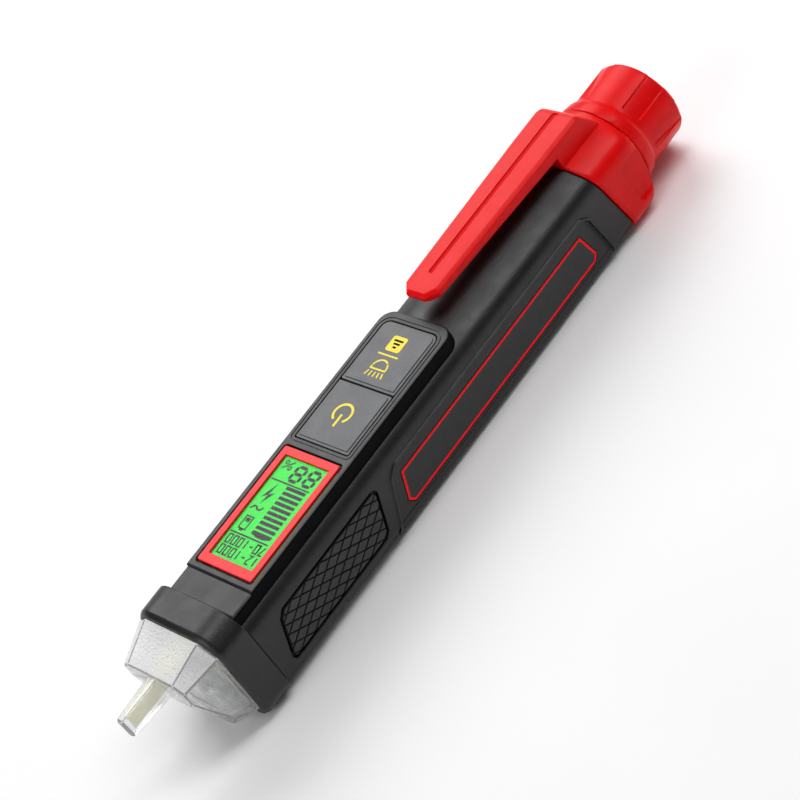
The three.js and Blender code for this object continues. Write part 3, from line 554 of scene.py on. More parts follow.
FINISHES = (
    Finish("black_plastic", srgb(16, 16, 17), 0.4)
    .mottle(1.1, 0.2).cloud(3, 0.05).grain(0.3, 0.045, 0.9),
    Finish("bezel_plastic", srgb(26, 26, 27), 0.42)
    .mottle(0.9, 0.12).cloud(4, 0.05).grain(0.28, 0.025, 0.6),
    # Near-black paint: painted shade on the bezel's upright outer walls, and dark print for the sensitivity
    # icon's bars.
    Finish("bezel_wall", srgb(7, 7, 7), 0.5, Specular_IOR_Level=0.06)
    .mottle(0.9, 0.2).grain(0.3, 0.03, 0.6),
    Finish("key_plastic", srgb(96, 97, 99), 0.5)
    .mottle(0.8, 0.05).cloud(3, 0.05).grain(0.18, 0.01, 0.4),
    Finish("grip_rubber", srgb(44, 44, 46), 0.55)
    .mottle(0.7, 0.2).cloud(2, 0.06).grain(0.16, 0.02, 0.7),
    # Near-black paint for the grip's groove floors: painted shade, darker than the rubber of the raised
    # diamonds.
    Finish("groove_rubber", srgb(6, 6, 6), 0.8)
    .mottle(0.5, 0.3).grain(0.2, 0.02),
    Finish("red_plastic", srgb(234, 7, 11), 0.32, Specular_IOR_Level=0.15)
    .mottle(2.4, 0.04).cloud(5, 0.04).grain(0.25, 0.012, 0.35),
    Finish("rim_plastic", srgb(250, 46, 50), 0.3, Specular_IOR_Level=0.22)
    .mottle(2, 0.03).cloud(4, 0.04).grain(0.3, 0.006, 0.3),
    Finish("seal_rubber", srgb(18, 18, 18), 0.6)
    .mottle(0.6, 0.2).grain(0.2, 0.01, 0.5),
    Finish("label_film", srgb(24, 25, 27), 0.42)
    .mottle(0.6, 0.2).cloud(2, 0.05).cells(0.22, 0.012, 0.4),
    # The emission is a painted glow that brightens the label's printed red line.
    Finish("red_ink", srgb(255, 26, 32), 0.5, Specular_IOR_Level=0.1,
           Emission_Color=srgb(255, 30, 36), Emission_Strength=0.12)
    .mottle(0.5, 0.06).grain(0.15, 0.005, 0.4),
    Finish("yellow_ink", srgb(250, 225, 40), 0.5)
    .mottle(0.3, 0.05).grain(0.12, 0.005, 0.4),
    Finish("clear_plastic", (0.985, 0.99, 0.99, 1), 0.05, Transmission_Weight=0.72, IOR=1.45,
           Alpha=0.55)
    .cloud(3, 0.02).grain(2.5, 0.01, 0.15),
    Finish("frosted_plastic", (0.985, 0.986, 0.99, 1), 0.36, Transmission_Weight=0.35, IOR=1.45,
           Alpha=0.88)
    .cloud(0.6, 0.12).cells(0.42, 0.09, 0.9),
    # Grey paint for the nose's narrow bevel faces: painted shade lines along the clear facets' edges.
    Finish("clear_edge", (0.3, 0.305, 0.31, 1), 0.25, Alpha=0.8)
    .cloud(1, 0.08).grain(0.5, 0.01, 0.3),
    Finish("window_film", (0.02, 0.02, 0.02, 1), 0.08, Alpha=0.05)
    .cloud(4, 0.03).grain(3, 0.004, 0.2),
    Finish("lcd_glass", srgb(64, 225, 76), 0.4,
           Emission_Color=srgb(84, 255, 100), Emission_Strength=0.22, Specular_IOR_Level=0.2)
    .mottle(6, 0.03).grain(0.2, 0.003, 0.2),
    Finish("lcd_ink", srgb(46, 14, 50), 0.5)
    .mottle(0.5, 0.12).grain(0.2, 0.003, 0.2),
    # The emission is a painted glow that lifts the nose sensor out of the shade inside the nose.
    Finish("cream_board_painted_glow", srgb(246, 244, 206), 0.5,
           Emission_Color=srgb(250, 248, 210), Emission_Strength=0.2)
    .mottle(0.5, 0.08).cells(0.35, 0.02, 0.5),
    Finish("diffuser", srgb(236, 240, 236), 0.5)
    .mottle(1, 0.04).grain(0.5, 0.01, 0.4),
    Finish("circuit_board", srgb(22, 92, 52), 0.35)
    .mottle(1.5, 0.25).cloud(2, 0.08).grain(0.5, 0.02, 0.5),
    Finish("white_board", srgb(226, 228, 230), 0.4)
    .mottle(1.5, 0.05).cloud(2, 0.08).grain(0.5, 0.01, 0.4),
    Finish("nickel", srgb(205, 202, 192), 0.28, Metallic=1.0)
    .mottle(2, 0.06).cloud(1, 0.08).grain(0.3, 0.006),
    Finish("screw_steel", srgb(120, 122, 126), 0.35, Metallic=1.0)
    .mottle(0.6, 0.1).cloud(0.5, 0.1).grain(0.15, 0.006),
    Finish("reflector_chrome", srgb(222, 224, 228), 0.12, Metallic=1.0)
    .cloud(0.8, 0.05).grain(0.6, 0.004),
    Finish("led_epoxy", srgb(226, 220, 160), 0.15)
    .mottle(1, 0.05).cloud(1, 0.05),
    Finish("warning_epoxy", srgb(228, 214, 214), 0.2)
    .mottle(1, 0.05).cloud(1, 0.05),
    Finish("buzzer_case", srgb(24, 24, 26), 0.5)
    .mottle(1, 0.15).grain(0.3, 0.01),
    Finish("cell_sleeve", srgb(44, 92, 150), 0.3, Metallic=0.4)
    .mottle(3, 0.12).cloud(4, 0.06).grain(0.6, 0.004),
    Finish("cradle_plastic", srgb(46, 46, 48), 0.5)
    .mottle(1.2, 0.15).grain(0.25, 0.012),
    Finish("pale_floor", srgb(247, 247, 248), 0.6)
    .mottle(60, 0.01).grain(30, 0.02, 0.1),
)
PAINT = {finish.name: finish.material for finish in FINISHES}


# ---- body ----


def collar_seam(z):
    return COLLAR_FRONT - COLLAR_LEAN * z


def body_ring(x_at, inset):
    return [(x_at(z), y, z) for y, z in body_section(inset)]


def body_solid(name, radius=0.35):
    """The body from the nose band to the leaning collar seam, with round ends."""
    front = max(BODY_FRONT, BAND_HIGH.x + SEAM)
    rings = [body_ring(lambda z, x=front + short: x, inset) for short, inset in fillet(radius, 3)[::-1]]
    for short, inset in fillet(radius, 3):
        rings.append(body_ring(lambda z, back=SEAM + short: collar_seam(z) - back, inset))
    return loft(name, rings)


def body_hollow():
    return loft("hollow", [body_ring(lambda z: BAND_HIGH.x - 1, WALL), body_ring(lambda z: 120, WALL)])


def recess_rim(side):
    """A low chamfered rim round the side recess, which the recess is then cut through."""
    width, chamfer, root = 0.62, 0.2, BODY_HALF - WALL / 2
    steps = [(width, root), (width, BODY_HALF), (width - chamfer, BODY_HALF + RIM_PROUD)]
    rim = sideways("rim", side, side_recess(), steps)
    ends = (BAND_HIGH.x + 20, 110)
    around = loft("around", [body_ring(lambda z, x=x: x, -RIM_PROUD) for x in ends])
    return boolean(rim, "INTERSECT", [around])


def side_cutter(name, side, outline, floor, surface, radius=0.3):
    """A cutter for a pocket with a round rim in one side. Distances are from the pen's middle."""
    corner = 0.15
    steps = [(-corner, floor), (0, floor + corner), *mouth(surface, radius), (radius, surface + 4)]
    return sideways(name, side, outline, steps)


def side_pockets():
    recessed = BODY_HALF - RECESS_DEPTH
    floor = BODY_HALF - POCKET_DEPTH
    tools = []
    for side in (-1, 1):
        tools.append(side_cutter("recess", side, side_recess(), recessed, BODY_HALF + RIM_PROUD, 0.25))
        tools.append(side_cutter("label_pocket", side, label_outline(), floor, recessed, 0.12))
        tools.append(side_cutter("grip_pocket", side, grip_outline(), floor, BODY_HALF, 0.25))
    return tools


def tongue(front, back, half, radius, front_radius=0.0, steps=8):
    """A rectangle in plan with round rear corners."""
    return rounded(rectangle(front, back, -half, half), [front_radius, radius, radius, front_radius], steps)


def half_space(z_low, z_high):
    return block("half_space", -30, 150, -30, 30, z_low, z_high)


def build_body():
    seat_plan = tongue(0, BEZEL_BACK + SEAM, BEZEL_HALF + SEAM, 3.1)
    seat = stack("seat", "z", seat_plan, [(0, BEZEL_LOW.z - SEAM), (0, 14)])
    ledge = 0.9
    deck_plan = tongue(7.9, BEZEL_BACK - ledge, BEZEL_HALF - ledge, 2.2)
    deck = stack("deck", "z", deck_plan, [(0, 2), (0, 14)])
    housing = unite(body_solid("housing"), recess_rim(-1), recess_rim(1))
    cut(housing, body_hollow(), seat, deck, *side_pockets())
    cover = duplicate(housing, "cover")
    cut(housing, half_space(-30, PARTING_Z + SEAM / 2))
    cut(cover, half_space(PARTING_Z - SEAM / 2, 30))
    # Radii less 1 of a screw's hole: its chamfered rim, round the head, and round the shank.
    rim, head, shank = 1.15, 0.75, -0.1
    rim_end, head_end, shank_end = BODY_FLOOR + 0.25, BODY_FLOOR + 1.1, -6
    for i in range(1, 5):
        low, high = pen_box(f"cover_screw_{i}")
        hole = circle(((low.x + high.x) / 2, (low.y + high.y) / 2), 1, 40)
        steps = [(rim, BODY_FLOOR - 1), (rim, BODY_FLOOR), (head, rim_end), (head, head_end),
                 (shank, head_end), (shank, shank_end)]
        cut(cover, stack("bore", "z", hole, steps))
    settle(housing, "pen", "black_plastic", ["main_housing"])
    settle(cover, "pen", "black_plastic", ["back_cover"])


def build_band():
    back = BAND_HIGH.x
    rounding = 0.3
    blunt_front = [(0, 0.75), (0.12, 0.5), (0.5, 0.25), (0.85, 0.08), (1.15, 0)]
    stations = blunt_front + [(back - short, inset) for short, inset in fillet(rounding, 3)]
    band = loft("band", [[(x, y, z) for y, z in band_section(inset)] for x, inset in stations])
    socket = stack("socket", "x", body_section(SOCKET), [(0, -1), (0, back + 1)])
    settle(cut(band, socket), "pen", "black_plastic", ["nose_band"])


# ---- clear nose ----


def hull(name, points):
    form = bmesh.new()
    for point in points:
        form.verts.new(point)
    made = bmesh.ops.convex_hull(form, input=form.verts)
    bmesh.ops.delete(form, geom=made["geom_interior"], context="VERTS")
    bmesh.ops.dissolve_limit(form, angle_limit=math.radians(1), verts=form.verts, edges=form.edges)
    return from_form(name, form)


NOSE_FRONT = -8.05
CHIN = -4.3
PROBE_TIP = pen_box("clear_nose")[0].x


def nose_facets(name, inset, front, base):
    """The faceted nose, from the corners of its base, its front face and its chin."""
    half = 10.3 - inset
    lean = 0.4 * inset
    front_half, front_side = 7.9 - inset, 7.6 - 0.6 * inset
    corners = [
        (base, 6.9 - lean, 11.5 - inset), (base, half, 8.9 - 0.6 * inset), (base, half, inset - 6.3),
        (base, 7 - lean, inset - 9.5),
        (front, 5.9 - lean, 9 - inset), (front, front_half, front_side), (front, front_half, 4.6 + lean),
        (front, 6.4 - lean, 3.1 + inset),
        (CHIN, 9 - inset, 0.5 * inset - 4.5), (CHIN, 6.5 - lean, inset - 7.7)]
    return hull(name, [(x, side * y, z) for x, y, z in corners for side in (-1, 1)])


def build_nose():
    shell = soften(nose_facets("nose", 0, NOSE_FRONT, -SEAM), 0.28, 2, 8)
    blade_corners = []
    blade_stations = ((-6.6, 1.1, 2.8, 8.3), (PROBE_TIP + 0.4, 0.7, 3.5, 8.1), (PROBE_TIP, 0.45, 3.9, 7.8))
    for x, half, low, high in blade_stations:
        blade_corners += [(x, y, z) for y in (-half, half) for z in (low, high)]
    blade = soften(hull("blade", blade_corners), 0.14, 2, 20)
    tongue_in_band = stack("tongue", "x", body_section(1.3), [(0, -0.4), (0, 2.2)])
    nose = unite(shell, blade, tongue_in_band)
    wall = 1.5
    hollow = nose_facets("hollow", wall, NOSE_FRONT + wall, -SEAM - 0.4)
    throat = stack("throat", "x", body_section(2.7), [(0, -1.6), (0, 3)])
    pocket = block("pocket", PROBE_TIP + 1.4, -4, -0.35, 0.35, 4.2, 7.5)
    lamp_z = (LAMP_LOW.z + LAMP_HIGH.z) / 2
    port_circle = circle((0, lamp_z), 3.4, 64)
    port = stack("port", "x", port_circle, [(0.5, -12), (0.5, -6.2), (0, -5.6), (0, -4.7)])
    cut(nose, hollow, throat, pocket, port)
    widest_edge, shortest_edge = 0.3, 0.8
    clear, frosted, grey = range(3)
    # Narrow bevel faces along the facets' edges take the grey third paint: painted shade that draws the clear
    # nose's edges.
    for face in nose.data.polygons:
        x, _, z = face.center
        corners = [nose.data.vertices[i].co for i in face.vertices]
        length = max((a - b).length for a, b in pairs(corners))
        if face.area / length < widest_edge and length > shortest_edge and x < -0.3:
            face.material_index = grey
        elif face.normal.z > 0.3 and x > NOSE_FRONT - 0.1 and z > 7:
            face.material_index = frosted
        else:
            face.material_index = clear
    settle(nose, "pen", "clear_plastic frosted_plastic clear_edge", ["clear_nose"], 20)


# ---- bezel, display and keys ----


def build_bezel():
    plate_plan = tongue(BEZEL_STEP, BEZEL_BACK, BEZEL_HALF, 3, 0.3, 10)
    plate = slab("bezel", "z", plate_plan, BEZEL_LOW.z, BEZEL_TOP, 0, 0.4)
    apron_plan = rectangle(BEZEL_LOW.x, BEZEL_STEP + 1, 0.01 - BEZEL_HALF, BEZEL_HALF - 0.01)
    bezel = unite(plate, slab("apron", "z", apron_plan, BEZEL_LOW.z, APRON_TOP, 0, 0.7))
    wall = 1.2
    inside_plan = tongue(8.2, BEZEL_BACK - wall, BEZEL_HALF - wall, 1.9)
    inside = stack("inside", "z", inside_plan, [(0, 2), (0, APRON_TOP - 0.8)])
    window = rectangle(RIM_LOW.x - SEAM, RIM_HIGH.x + SEAM, -RIM_HIGH.y - SEAM, RIM_HIGH.y + SEAM, 0.5)
    key_front, key_back = POWER_LOW.x - KEY_CLEARANCE, LIGHT_HIGH.x + KEY_CLEARANCE
    key_plan = tongue(key_front, key_back, KEY_HALF + KEY_CLEARANCE, 1.8, 0.4)
    through = [(0, 2), *mouth(BEZEL_TOP, 0.15), (0.15, 20)]
    holes = [stack("hole", "z", plan, through) for plan in (window, key_plan)]
    cut(bezel, inside, *holes)
    moat_depth, moat_width, lip = 0.14, 0.22, 0.6
    moat_edge = lip + moat_width
    moat = stack("moat", "z", key_plan, [(moat_edge, BEZEL_TOP - moat_depth), (moat_edge, 20)])
    cut(moat, stack("island", "z", key_plan, [(lip, 2), (lip, 30)]))
    gap_depth, gap_width = 0.6, 0.32
    gap_steps = [(gap_width, BEZEL_TOP - gap_depth), *mouth(BEZEL_TOP, 0.1, gap_width), (gap_width + 0.1, 20)]
    cut(bezel, moat, stack("gap", "z", window, gap_steps))
    # The bezel's upright outer walls at the sides and back take the near-black second paint: painted shade,
    # darker than the bezel plastic they are made of.
    for face in bezel.data.polygons:
        upright = abs(face.normal.z) < 0.6
        at_side = abs(face.center.y) > BEZEL_HALF - 0.6
        at_back = face.center.x > BEZEL_BACK - 3.2 and face.normal.x > 0.2
        face.material_index = 1 if upright and (at_side or at_back) else 0
    settle(bezel, "pen", "bezel_plastic bezel_wall", ["display_bezel"])


def build_display():
    outer = rectangle(RIM_LOW.x, RIM_HIGH.x, RIM_LOW.y, RIM_HIGH.y, 0.45)
    inner = rectangle(PANE_LOW.x - SEAM, PANE_HIGH.x + SEAM, PANE_LOW.y - SEAM, PANE_HIGH.y + SEAM, 0.15)
    rim = slab("display_rim", "z", outer, RIM_LOW.z, RIM_HIGH.z, 0, 0.15)
    cut(rim, stack("hole", "z", inner, [(0, 0), *mouth(RIM_HIGH.z, 0.1), (0.1, 20)]))
    settle(rim, "pen", "rim_plastic", ["display_frame"])
    pane_plan = rectangle(PANE_LOW.x, PANE_HIGH.x, PANE_LOW.y, PANE_HIGH.y, 0.15)
    pane = slab("window_pane", "z", pane_plan, PANE_LOW.z, PANE_HIGH.z, 0.03, 0.06)
    settle(pane, "pen", "window_film", ["display_window"])
    glass_plan = rectangle(LCD_LOW.x, LCD_HIGH.x, LCD_LOW.y, LCD_HIGH.y, 0.2)
    glass = slab("lcd_glass", "z", glass_plan, LCD_LOW.z, LCD_HIGH.z, 0.05, 0.05)
    unite(glass, slab("front_glass", "z", pane_plan, LCD_LOW.z + 0.3, GLASS_FACE))
    settle(glass, "pen", "lcd_glass", ["lcd_cell"])


GLASS_FACE = PANE_LOW.z - 0.05


class Print:
    """Flat marks printed on a face at a level, joined into one piece."""

    def __init__(self, name, level, thickness=0.02):
        self.name = name
        self.level, self.thickness = level, thickness
        self.vertices, self.faces = [], []

    def patch(self, outline):
        """A filled outline."""
        points = anticlockwise(outline)
        start, count = len(self.vertices), len(points)
        for z in (self.level, self.level + self.thickness):
            self.vertices += [(x, y, z) for x, y in points]
        self.faces.append([start + i for i in range(count)][::-1])
        self.faces.append([start + count + i for i in range(count)])
        for i, j in pairs(list(range(start, start + count))):
            self.faces.append([i, j, j + count, i + count])

    def line(self, points, width, closed=False):
        """A stroke along points, mitred at its bends."""
        path = [Vector(p) for p in points]
        left, right = [], []
        for i, here in enumerate(path):
            before = path[i - 1] if i or closed else None
            after = path[(i + 1) % len(path)] if i + 1 < len(path) or closed else None
            ways = [here - before] if before else []
            ways += [after - here] if after else []
            sides = [Vector((-w.y, w.x)).normalized() for w in ways]
            side = sides[0] if len(sides) == 1 else (sides[0] + sides[1]) / (1 + sides[0].dot(sides[1]))
            left.append(tuple(here + side * width / 2))
            right.append(tuple(here - side * width / 2))
        if closed:
            for (left_a, left_b), (right_a, right_b) in zip(pairs(left), pairs(right)):
                self.patch([left_a, left_b, right_b, right_a])
        else:
            self.patch(left + right[::-1])

    def make(self):
        return new_object(self.name, self.vertices, self.faces)


# On the display, text runs along +y and its top points to the nose (-x). across is +y, up is -x.


def segment_digit(marks, x, y, height=3.8, width=2.8, stroke=0.66, slant=0.12):
    """A seven-segment 8 whose lower left corner, as read, is at (x, y)."""

    def at(across, up):
        return x - up, y + across + slant * up

    gap = 0.09
    half = stroke / 2
    middle = height / 2
    left, right = stroke + gap, width - stroke - gap
    for level in (half, middle, height - half):
        marks.patch([at(half + gap, level), at(left, level + half), at(right, level + half),
                     at(width - half - gap, level), at(right, level - half), at(left, level - half)])
    for across in (half, width - half):
        for low, high in ((half + gap, middle - gap), (middle + gap, height - half - gap)):
            marks.patch([at(across, low), at(across + half, low + half), at(across + half, high - half),
                         at(across, high), at(across - half, high - half), at(across - half, low + half)])


def small_character(marks, character, x, y, height=1.75, width=0.85, stroke=0.3):
    """A digit or a dash whose lower left corner, as read, is at (x, y)."""
    strokes = {
        "0": [(0, 0), (1, 0), (1, 1), (0, 1)],
        "1": [(0.5, 0), (0.5, 1)],
        "2": [(1, 0), (0, 0), (0.9, 0.65), (0.9, 1), (0, 1)],
        "7": [(0.3, 0), (1, 1), (0, 1)],
        "-": [(0, 0.5), (1, 0.5)],
    }[character]
    marks.line([(x - up * height, y + across * width) for across, up in strokes], stroke, character == "0")


def build_lcd_marks():
    """Two digits, a percent sign, nine bars and a pointed one, a bolt, a wave, a battery and two ranges."""
    stroke = 0.3
    left, right = -4.4, 5.1
    marks = Print("lcd_segments", GLASS_FACE + 0.015)
    for y in (-4.7, -1.3):
        segment_digit(marks, 37.1, y)
    # The percent sign.
    marks.line([(37.15, 2.55), (35.35, 4.7)], stroke)
    for x, y in ((35.75, 3.0), (36.75, 4.3)):
        marks.line(circle((x, y), 0.36, 16), stroke * 0.85, closed=True)
    # The lines between the display's three fields.
    for x in (21.05, 32.85):
        marks.line([(x, left), (x, right)], stroke)
    # The bars, with the pointed one at the nose end.
    bars, pitch, thickness = 9, 1.09, 0.68
    bar_right, bar_left, last = 0.62, -4.15, 22
    for i in range(1, bars + 1):
        x = last + i * pitch
        marks.patch(rectangle(x, x + thickness, bar_left, bar_right))
    marks.patch([(last + thickness, bar_left), (last + thickness, bar_right), (last, bar_right + 0.12),
                 (last - 0.45, -1), (last - 0.45, -2.6), (last, bar_left)])
    # The bolt, the wave and the battery.
    marks.patch([(32.3, 2.75), (28.9, 4.3), (29.7, 3.15), (27.6, 3.5), (30.35, 2.0), (29.75, 3.15)])
    marks.line([(27.1, 2.0), (26.4, 2.5), (26.4, 3.1), (26.9, 3.6), (26.9, 4.2), (26.2, 4.7)], stroke * 1.2)
    marks.line(rectangle(22.1, 24.75, 2.4, 4.1), stroke * 0.9, closed=True)
    marks.patch(rectangle(21.65, 22.05, 2.85, 3.65))
    marks.patch(rectangle(23.6, 24.4, 2.75, 3.75))
    spacing, text_left = 1.42, -4.75
    for x, text in ((20.5, "70-1000"), (18.2, "12-1000")):
        for k, character in enumerate(text):
            small_character(marks, character, x, spacing * k + text_left)
    settle(marks.make(), "pen", "lcd_ink")


def key_outline(front, back, back_radius):
    return growing(rectangle(front, back, -KEY_HALF, KEY_HALF), [0.3, back_radius, back_radius, 0.3], 8)


def build_key(name, low, high, back_radius):
    """A key cap: a ledge round a slightly raised pad, over the flange that holds it under the bezel."""
    ledge, drop = 0.5, 0.2
    outline = key_outline(low.x, high.x, back_radius)
    steps = [(0, BEZEL_TOP - 1.2), *edge(high.z - drop, 0.1, 1), (-ledge, high.z - drop),
             *edge(high.z, 0.14, 1, -ledge)]
    cap = stack(name, "z", outline, steps)
    flange_plan = rectangle(low.x, high.x, low.y, high.y)
    flange = slab(f"{name}_flange", "z", flange_plan, low.z, BEZEL_TOP - 1.45, 0.1, 0.1)
    neck = stack(f"{name}_neck", "z", outline, [(-0.3, low.z + 0.2), (-0.3, BEZEL_TOP - 1)])
    return unite(cap, flange, neck)


def build_keys():
    keys = (("power", POWER_LOW, POWER_HIGH, 0.3), ("light", LIGHT_LOW, LIGHT_HIGH, 1.6))
    for name, low, high, back_radius in keys:
        key = build_key(f"{name}_key_cap", low, high, back_radius)
        settle(key, f"{name}_key_body", "key_plastic", [f"{name}_key"])


def build_icons():
    level = POWER_HIGH.z + 0.004
    stroke = 0.5
    # The power sign: an open ring and a stroke.
    power = Print("power_icon", level)
    x, y, radius = 48.9, 0.45, 1.95
    power.line(arc((x, y), radius, -145, 145, 40), stroke)
    power.line([(x - 0.25, y), (x - 3.0, y)], stroke)
    settle(power.make(), "power_key_body", "yellow_ink")
    # Sensitivity: a plate with three bars. Then a dividing line, and a lamp with five rays.
    light = Print("light_icon", level)
    light.patch(rectangle(63.4, 66.8, -1.3, 2.15, 0.5))
    bars = Print("light_icon_bars", level + 0.03, 0.01)
    for i, half in enumerate((0.4, 0.75, 1.1)):
        x = 64.35 + 0.75 * i
        bars.line([(x, 0.42 - half), (x, 0.42 + half)], 0.4)
    settle(bars.make(), "light_key_body", "bezel_wall")
    light.line([(62.45, -2.05), (62.45, 2.85)], 0.34)
    lamp = arc((59.55, 0.35), 1.75, -90, 90, 24)
    light.line([(59.2, -1.4), *lamp, (59.2, 2.1)], 0.34, closed=True)
    for i in range(5):
        y = -1.35 + 0.85 * i
        light.line([(58.65, y), (57.5, y + 0.18 * (i - 2))], 0.3)
    settle(light.make(), "light_key_body", "yellow_ink")


# ---- grips and labels ----


def clipped(polygon, outline):
    """The part of a polygon inside a convex outline."""
    outline = anticlockwise(outline)
    points = [Vector(p) for p in polygon]
    for a, b in pairs(outline):
        a, way = Vector(a), Vector(b) - Vector(a)

        def inside(p, a=a, way=way):
            return way.x * (p.y - a.y) - way.y * (p.x - a.x)

        kept = []
        for p, q in pairs(points):
            here, there = inside(p), inside(q)
            if here >= 0:
                kept.append(p)
            if (here > 0 > there) or (here < 0 < there):
                kept.append(p.lerp(q, here / (here - there)))
        points = kept
        if len(points) < 3:
            return []
    return [tuple(p) for p in points]


def cleaned(points, least=0.12):
    """Drops points that lie closer than least to the one before."""
    kept = []
    for p in points:
        if not kept or math.dist(p, kept[-1]) > least:
            kept.append(p)
    if len(kept) > 2 and math.dist(kept[0], kept[-1]) <= least:
        kept.pop()
    return kept


def grip_pad():
    """The left grip: a base with a lattice of raised diamonds, and grooves between them."""
    pitch_x, pitch_z, groove = 4.1, 2.35, 0.27
    border, face, base = 0.62, BODY_HALF + 0.05, BODY_HALF - 0.33
    outline = grown(grip_outline(), -border)
    pad_plan = grown(grip_outline(), -border + 0.1)
    pad = slab("grip_left", "y", pad_plan, -base, -BODY_HALF + POCKET_DEPTH - 0.02)
    diagonal = math.hypot(pitch_x, pitch_z)
    half_x = (pitch_x - groove * diagonal / pitch_z) / 2
    half_z = (pitch_z - groove * diagonal / pitch_x) / 2
    lattice = []
    for row in range(-6, 7):
        for column in range(-1, 10):
            x = 10 + column * pitch_x + (row % 2) * pitch_x / 2
            z = -1.2 + row * pitch_z / 2
            cell = clipped([(x - half_x, z), (x, z - half_z), (x + half_x, z), (x, z + half_z)], outline)
            cell = cleaned(cell)
            if len(cell) >= 3 and abs(area(cell)) > 0.12:
                lattice.append(cell)
    for cell in lattice:
        chamfer = 0.07
        top = [(-face, -chamfer), (-face + chamfer, 0), (-base + 0.05, 0)]
        pad = joined(pad, stack("diamond", "y", cell, [(growth, level) for level, growth in top]))
    # The base faces between the raised diamonds take the near-black second paint: painted shade in the
    # grooves.
    for face_of_pad in pad.data.polygons:
        face_of_pad.material_index = 1 if abs(face_of_pad.center.y) < base + 0.02 else 0
    return pad


def build_sides():
    left = grip_pad()
    right = mirrored(left, "grip_right")
    for pad, side in ((left, "left"), (right, "right")):
        settle(pad, "pen", "grip_rubber groove_rubber", [f"grip_pad_{side}"], 20)
    panel_face = BODY_HALF - 0.62
    floor = BODY_HALF - POCKET_DEPTH + 0.02
    outline = label_outline()
    line_outside, line_width = -SEAM - 0.06, 0.5
    line_inside = line_outside - line_width
    film = slab("label_left", "y", outline, -panel_face, -floor, 0.05, 0, -SEAM)
    line_face = -panel_face - 0.035
    band = slab("label_line_left", "y", outline, line_face, -panel_face + 0.1, 0.03, 0, line_outside)
    cut(band, stack("inner", "y", outline, [(line_inside, -20), (line_inside, 0)]))
    for piece, paint, name in ((film, "label_film", "label"), (band, "red_ink", "label_line")):
        other = mirrored(piece, f"{name}_right")
        for obj, side in ((piece, "left"), (other, "right")):
            stands_for = [f"label_panel_{side}"] if name == "label" else ()
            settle(obj, "pen", paint, stands_for)


# ---- collar and clip ----


def clip_ring(x, half, top_half, chamfer_z, top, bottom):
    """The clip's section at x: chamfered upper edges and a faint ridge along the middle."""
    ridge = 0.1 * top_half / BOSS_HALF
    corner = 0.35
    return [(x, -half, bottom + corner), (x, -half, chamfer_z), (x, -top_half, top - ridge), (x, 0, top),
            (x, top_half, top - ridge), (x, half, chamfer_z), (x, half, bottom + corner),
            (x, half - corner, bottom), (x, corner - half, bottom)]


def lerp(a, b, t):
    return a + (b - a) * t


def clip_bar():
    """The clip and its boss on the collar, as one bar."""
    tip, shoulder, top = CLIP_LOW.x, 75.4, CLIP_HIGH.z
    bevel, drop = 0.75, 0.6
    tip_half, shoulder_half, root_half = 2.2, 4.1, 4.9
    low_tip, low_root, boss_low = 13.3, 12.1, 9.2

    def half_at(x):
        if x <= shoulder:
            return lerp(tip_half, shoulder_half, (x - tip) / (shoulder - tip))
        return lerp(shoulder_half, root_half, (x - shoulder) / (CLIP_ROOT - shoulder))

    def bottom_at(x):
        return lerp(low_tip, low_root, (x - tip) / (CLIP_ROOT - tip))

    rings = [clip_ring(tip, tip_half, tip_half - 0.2, top - drop, top - drop + 0.05, low_tip + 0.5),
             clip_ring(tip + bevel, half_at(tip + bevel), tip_half - 0.2, top - drop, top, low_tip + 0.05)]
    inset_shoulder = shoulder + 0.35
    stations = [shoulder, inset_shoulder, 80, 88, 96, CLIP_ROOT - 0.2]
    for x in stations:
        top_half = half_at(x) - bevel
        if x == shoulder:
            top_half = lerp(tip_half - 0.2, half_at(inset_shoulder) - bevel, 0.8)
        rings.append(clip_ring(x, half_at(x), top_half, top - drop, top, bottom_at(x)))
    rings.append(clip_ring(CLIP_ROOT, root_half, root_half - bevel, top - drop, top, boss_low))
    rings.append(clip_ring(BOSS_END - 1.4, root_half, root_half - bevel, top - drop, top, boss_low))
    fall = [(BOSS_END - 0.7, 0.15), (BOSS_END, 0.55), (BOSS_END + 0.6, 1.2), (BOSS_END + 1.3, 2.2),
            (BOSS_END + 2.2, 3.6), (BOSS_END + 3.0, 4.85)]
    for x, down in fall:
        rings.append(clip_ring(x, root_half, root_half - bevel, top - drop - down, top - down, boss_low))
    return soften(loft("clip_bar", rings), 0.16, 2, 14)


def radial(outline, segments):
    """Where rays from the battery axis meet an outline in (y, z): one radius for each ray."""
    points = [Vector(p) for p in outline]
    radii = []
    for i in range(segments):
        angle = 2 * math.pi * i / segments
        ray = Vector((math.cos(angle), math.sin(angle)))
        best = 0
        for a, b in pairs(points):
            across_a = ray.x * a.y - ray.y * a.x
            across_b = ray.x * b.y - ray.y * b.x
            if across_a * across_b <= 0 and across_a != across_b:
                hit = a.lerp(b, across_a / (across_a - across_b))
                best = max(best, hit.dot(ray))
        radii.append(best)
    return radii


def collar_shell():
    """The collar's skirt follows the body at its leaning front and turns round at its back."""
    segments = 160
    squared = radial(body_section(-FLANGE), segments)
    full, back, round_radius = 119.6, COLLAR_BACK, 10.2
    rings = []

    def ring(x_at, shrink, share):
        points = []
        for i, radius in enumerate(squared):
            angle = 2 * math.pi * i / segments
            r = lerp(round_radius, radius - shrink, share)
            y, z = r * math.cos(angle), r * math.sin(angle)
            points.append((x_at(z), y, z))
        rings.append(points)

    lip = 0.75
    for short, inset in fillet(lip, 5)[::-1]:
        ring(lambda z, short=short: collar_seam(z) + short, 0.75 * inset, 1)
    ring(lambda z: full, 0, 1)
    turn = 9
    for i in range(1, turn + 1):
        u = i / turn
        share = (1 - u**2.4) ** (1 / 2.4)
        ring(lambda z, x=lerp(full, back, u): x, 0, share)
    return loft("collar", rings)


